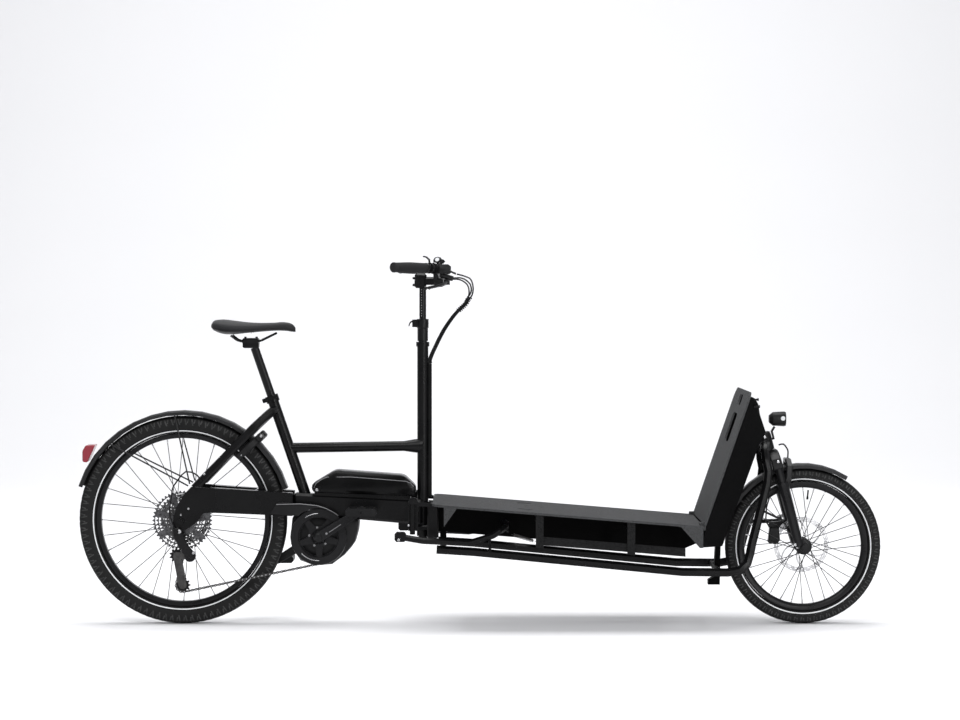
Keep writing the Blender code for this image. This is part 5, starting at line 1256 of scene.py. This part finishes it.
def make_cockpit():
    """Switch pods, brake cylinders and the lit screen on the handlebar."""
    bm = bmesh.new()
    for side in (-1, 1):
        block(bm, (-0.1130, side * 0.1760, 1.1370), (0.036, 0.024, 0.030), 0.005)
        tube(bm, [(-0.1230, side * 0.1680, 1.1180), (-0.0900, side * 0.1500, 1.1080)], 0.0085, 16)
    finish_piece("bar_pods", bm, PLASTIC, "handlebar")
    hit, normal = from_side("handlebar", -0.1346, 1.1665)
    for name, material, low, high, radius in (
        ("screen_rim", ALLOY, -0.0010, 0.0008, 0.0092),
        ("screen_glass", PALE, 0.0, 0.0013, 0.0068),
    ):
        bm = bmesh.new()
        tube(bm, [hit + normal * low, hit + normal * high], radius, 24)
        finish_piece(name, bm, material, "handlebar")


def make_post_marks():
    """The row of height marks on the telescopic post."""
    bm = bmesh.new()
    for k in range(POST_MARKS):
        spot, normal = from_side("upper_post", -0.1870, 0.9880 + MARK_STEP * k)
        dome(bm, spot - normal * 0.0005, normal, 0.0016, 0.0006, 8)
    finish_piece("post_marks", bm, STEEL, "upper_post", WIRE)


def make_deck_slot_shade():
    """Small slots and screw recesses in the deck's top, drawn as dark insets of tyre rubber that are painted
    shade in place of cut holes: place, length and width.
    """
    rows = (
        (0.135, 0.196, 0.018, 0.008), (0.163, 0.196, 0.020, 0.008), (0.128, 0.080, 0.016, 0.014),
        (0.150, 0.030, 0.018, 0.012), (0.172, 0.075, 0.013, 0.018), (0.150, -0.030, 0.012, 0.014),
        (0.198, 0.020, 0.030, 0.006), (0.030, 0.196, 0.012, 0.008), (0.262, 0.196, 0.012, 0.008),
        (0.470, 0.190, 0.034, 0.010), (0.525, 0.190, 0.020, 0.010), (0.030, -0.190, 0.010, 0.007),
        (0.250, -0.190, 0.010, 0.007), (0.480, -0.190, 0.010, 0.007), (0.630, 0.060, 0.012, 0.012),
        (0.630, -0.150, 0.010, 0.008),
    )
    bm = bmesh.new()
    for x, y, length, width in rows:
        corners = []
        for dx, dy in ((-1, -1), (1, -1), (1, 1), (-1, 1)):
            above = Vector((x + dx * length / 2, y + dy * width / 2, 1.0))
            corners.append(tree_of("deck_plate").ray_cast(above, Vector((0, 0, -1)))[0])
        grid(bm, [[bm.verts.new(c + Vector((0, 0, lift))) for c in corners] for lift in INSET])
    finish_piece("deck_slot_shade", bm, RUBBER, "deck_plate", PRESSED)


def make_frame_parts():
    """Strap and foot block at the mast, corner plates and knobs of the front wall."""
    bm = bmesh.new()
    spot, _ = from_side("main_beam", -0.2120, 0.380)
    block(bm, (-0.2130, spot.y - 0.0010, 0.3550), (0.017, 0.005, 0.110), 0.002)
    block(bm, (-0.1505, -0.0300, 0.3350), (0.036, 0.060, 0.112), 0.004)
    finish_piece("mast_foot", bm, PAINT, "mast_tube", PRESSED)
    corners, knobs = bmesh.new(), bmesh.new()
    for side in (-1, 1):
        block(corners, (0.6980, side * 0.1950, 0.3300), (0.022, 0.020, 0.026), 0.002)
        for x, z in ((0.8560, 0.7270), (0.8600, 0.7050)):
            tip = (x + 0.0140, side * 0.1900, z + 0.0010)
            tube(knobs, [(x, side * 0.1900, z), tip], 0.0032, 12)
            dome(knobs, tip, (1, 0, 0), 0.0052, 0.0040, 12)
    finish_piece("wall_corner", corners, WALL, "front_wall", PRESSED)
    finish_piece("wall_knobs", knobs, ALLOY, "front_wall")


def on_crank(radius, degrees):
    """A place on the outer side of the cranks' ring and arm, by radius and angle."""
    spot = spin_point(CRANK_AXLE, radius, degrees)
    return from_side("crank_right", spot.x, spot.z)[0]


def make_crank_parts():
    """Painted highlights: bright steel arcs on the guard ring that stand for light through its slots, and the
    bolts of the spider.
    """
    bm = bmesh.new()
    for first, last in ((92, 124), (224, 272)):
        tube(bm, [on_crank(0.0755, first + (last - first) * k / 8) for k in range(9)], 0.0014, 8)
    finish_piece("guard_slot_glints", bm, STEEL, "crank_right", WIRE)
    bm = bmesh.new()
    for angle in (75, 147, 219, 291, 363):
        dome(bm, on_crank(0.0300, angle + 24), (0, -1, 0), 0.0038, 0.0020, 10)
    finish_piece("spider_bolts", bm, GREY_ALLOY, "crank_right")


make_clamp_lever()
make_lamp_parts()
make_cockpit()
make_post_marks()
make_deck_slot_shade()
make_frame_parts()
# Painted highlights: pale lines along the battery's upper edge and along the chain cover's edge
bead(
    "battery_edge_highlight", "battery",
    (
        (-0.5300, 0.4400), (-0.5240, 0.4530), (-0.5060, 0.4660), (-0.4890, 0.4735), (-0.4160, 0.4740),
        (-0.3200, 0.4670), (-0.2400, 0.4605), (-0.2220, 0.4545), (-0.2120, 0.4430),
    ),
    0.0013,
)
bead(
    "cover_edge_highlight", "chain_cover",
    (
        (-0.6560, 0.3925), (-0.5740, 0.3905), (-0.5200, 0.3870), (-0.4880, 0.3800),
        (-0.4660, 0.3670), (-0.4500, 0.3540),
    ),
    0.0012,
)
make_screws()
make_crank_parts()
# Painted highlight: a pale line along the crank arm
bead("crank_arm_highlight", "crank_right", ((-0.4800, 0.3010), (-0.4600, 0.3140), (-0.4420, 0.3260)), 0.0014)
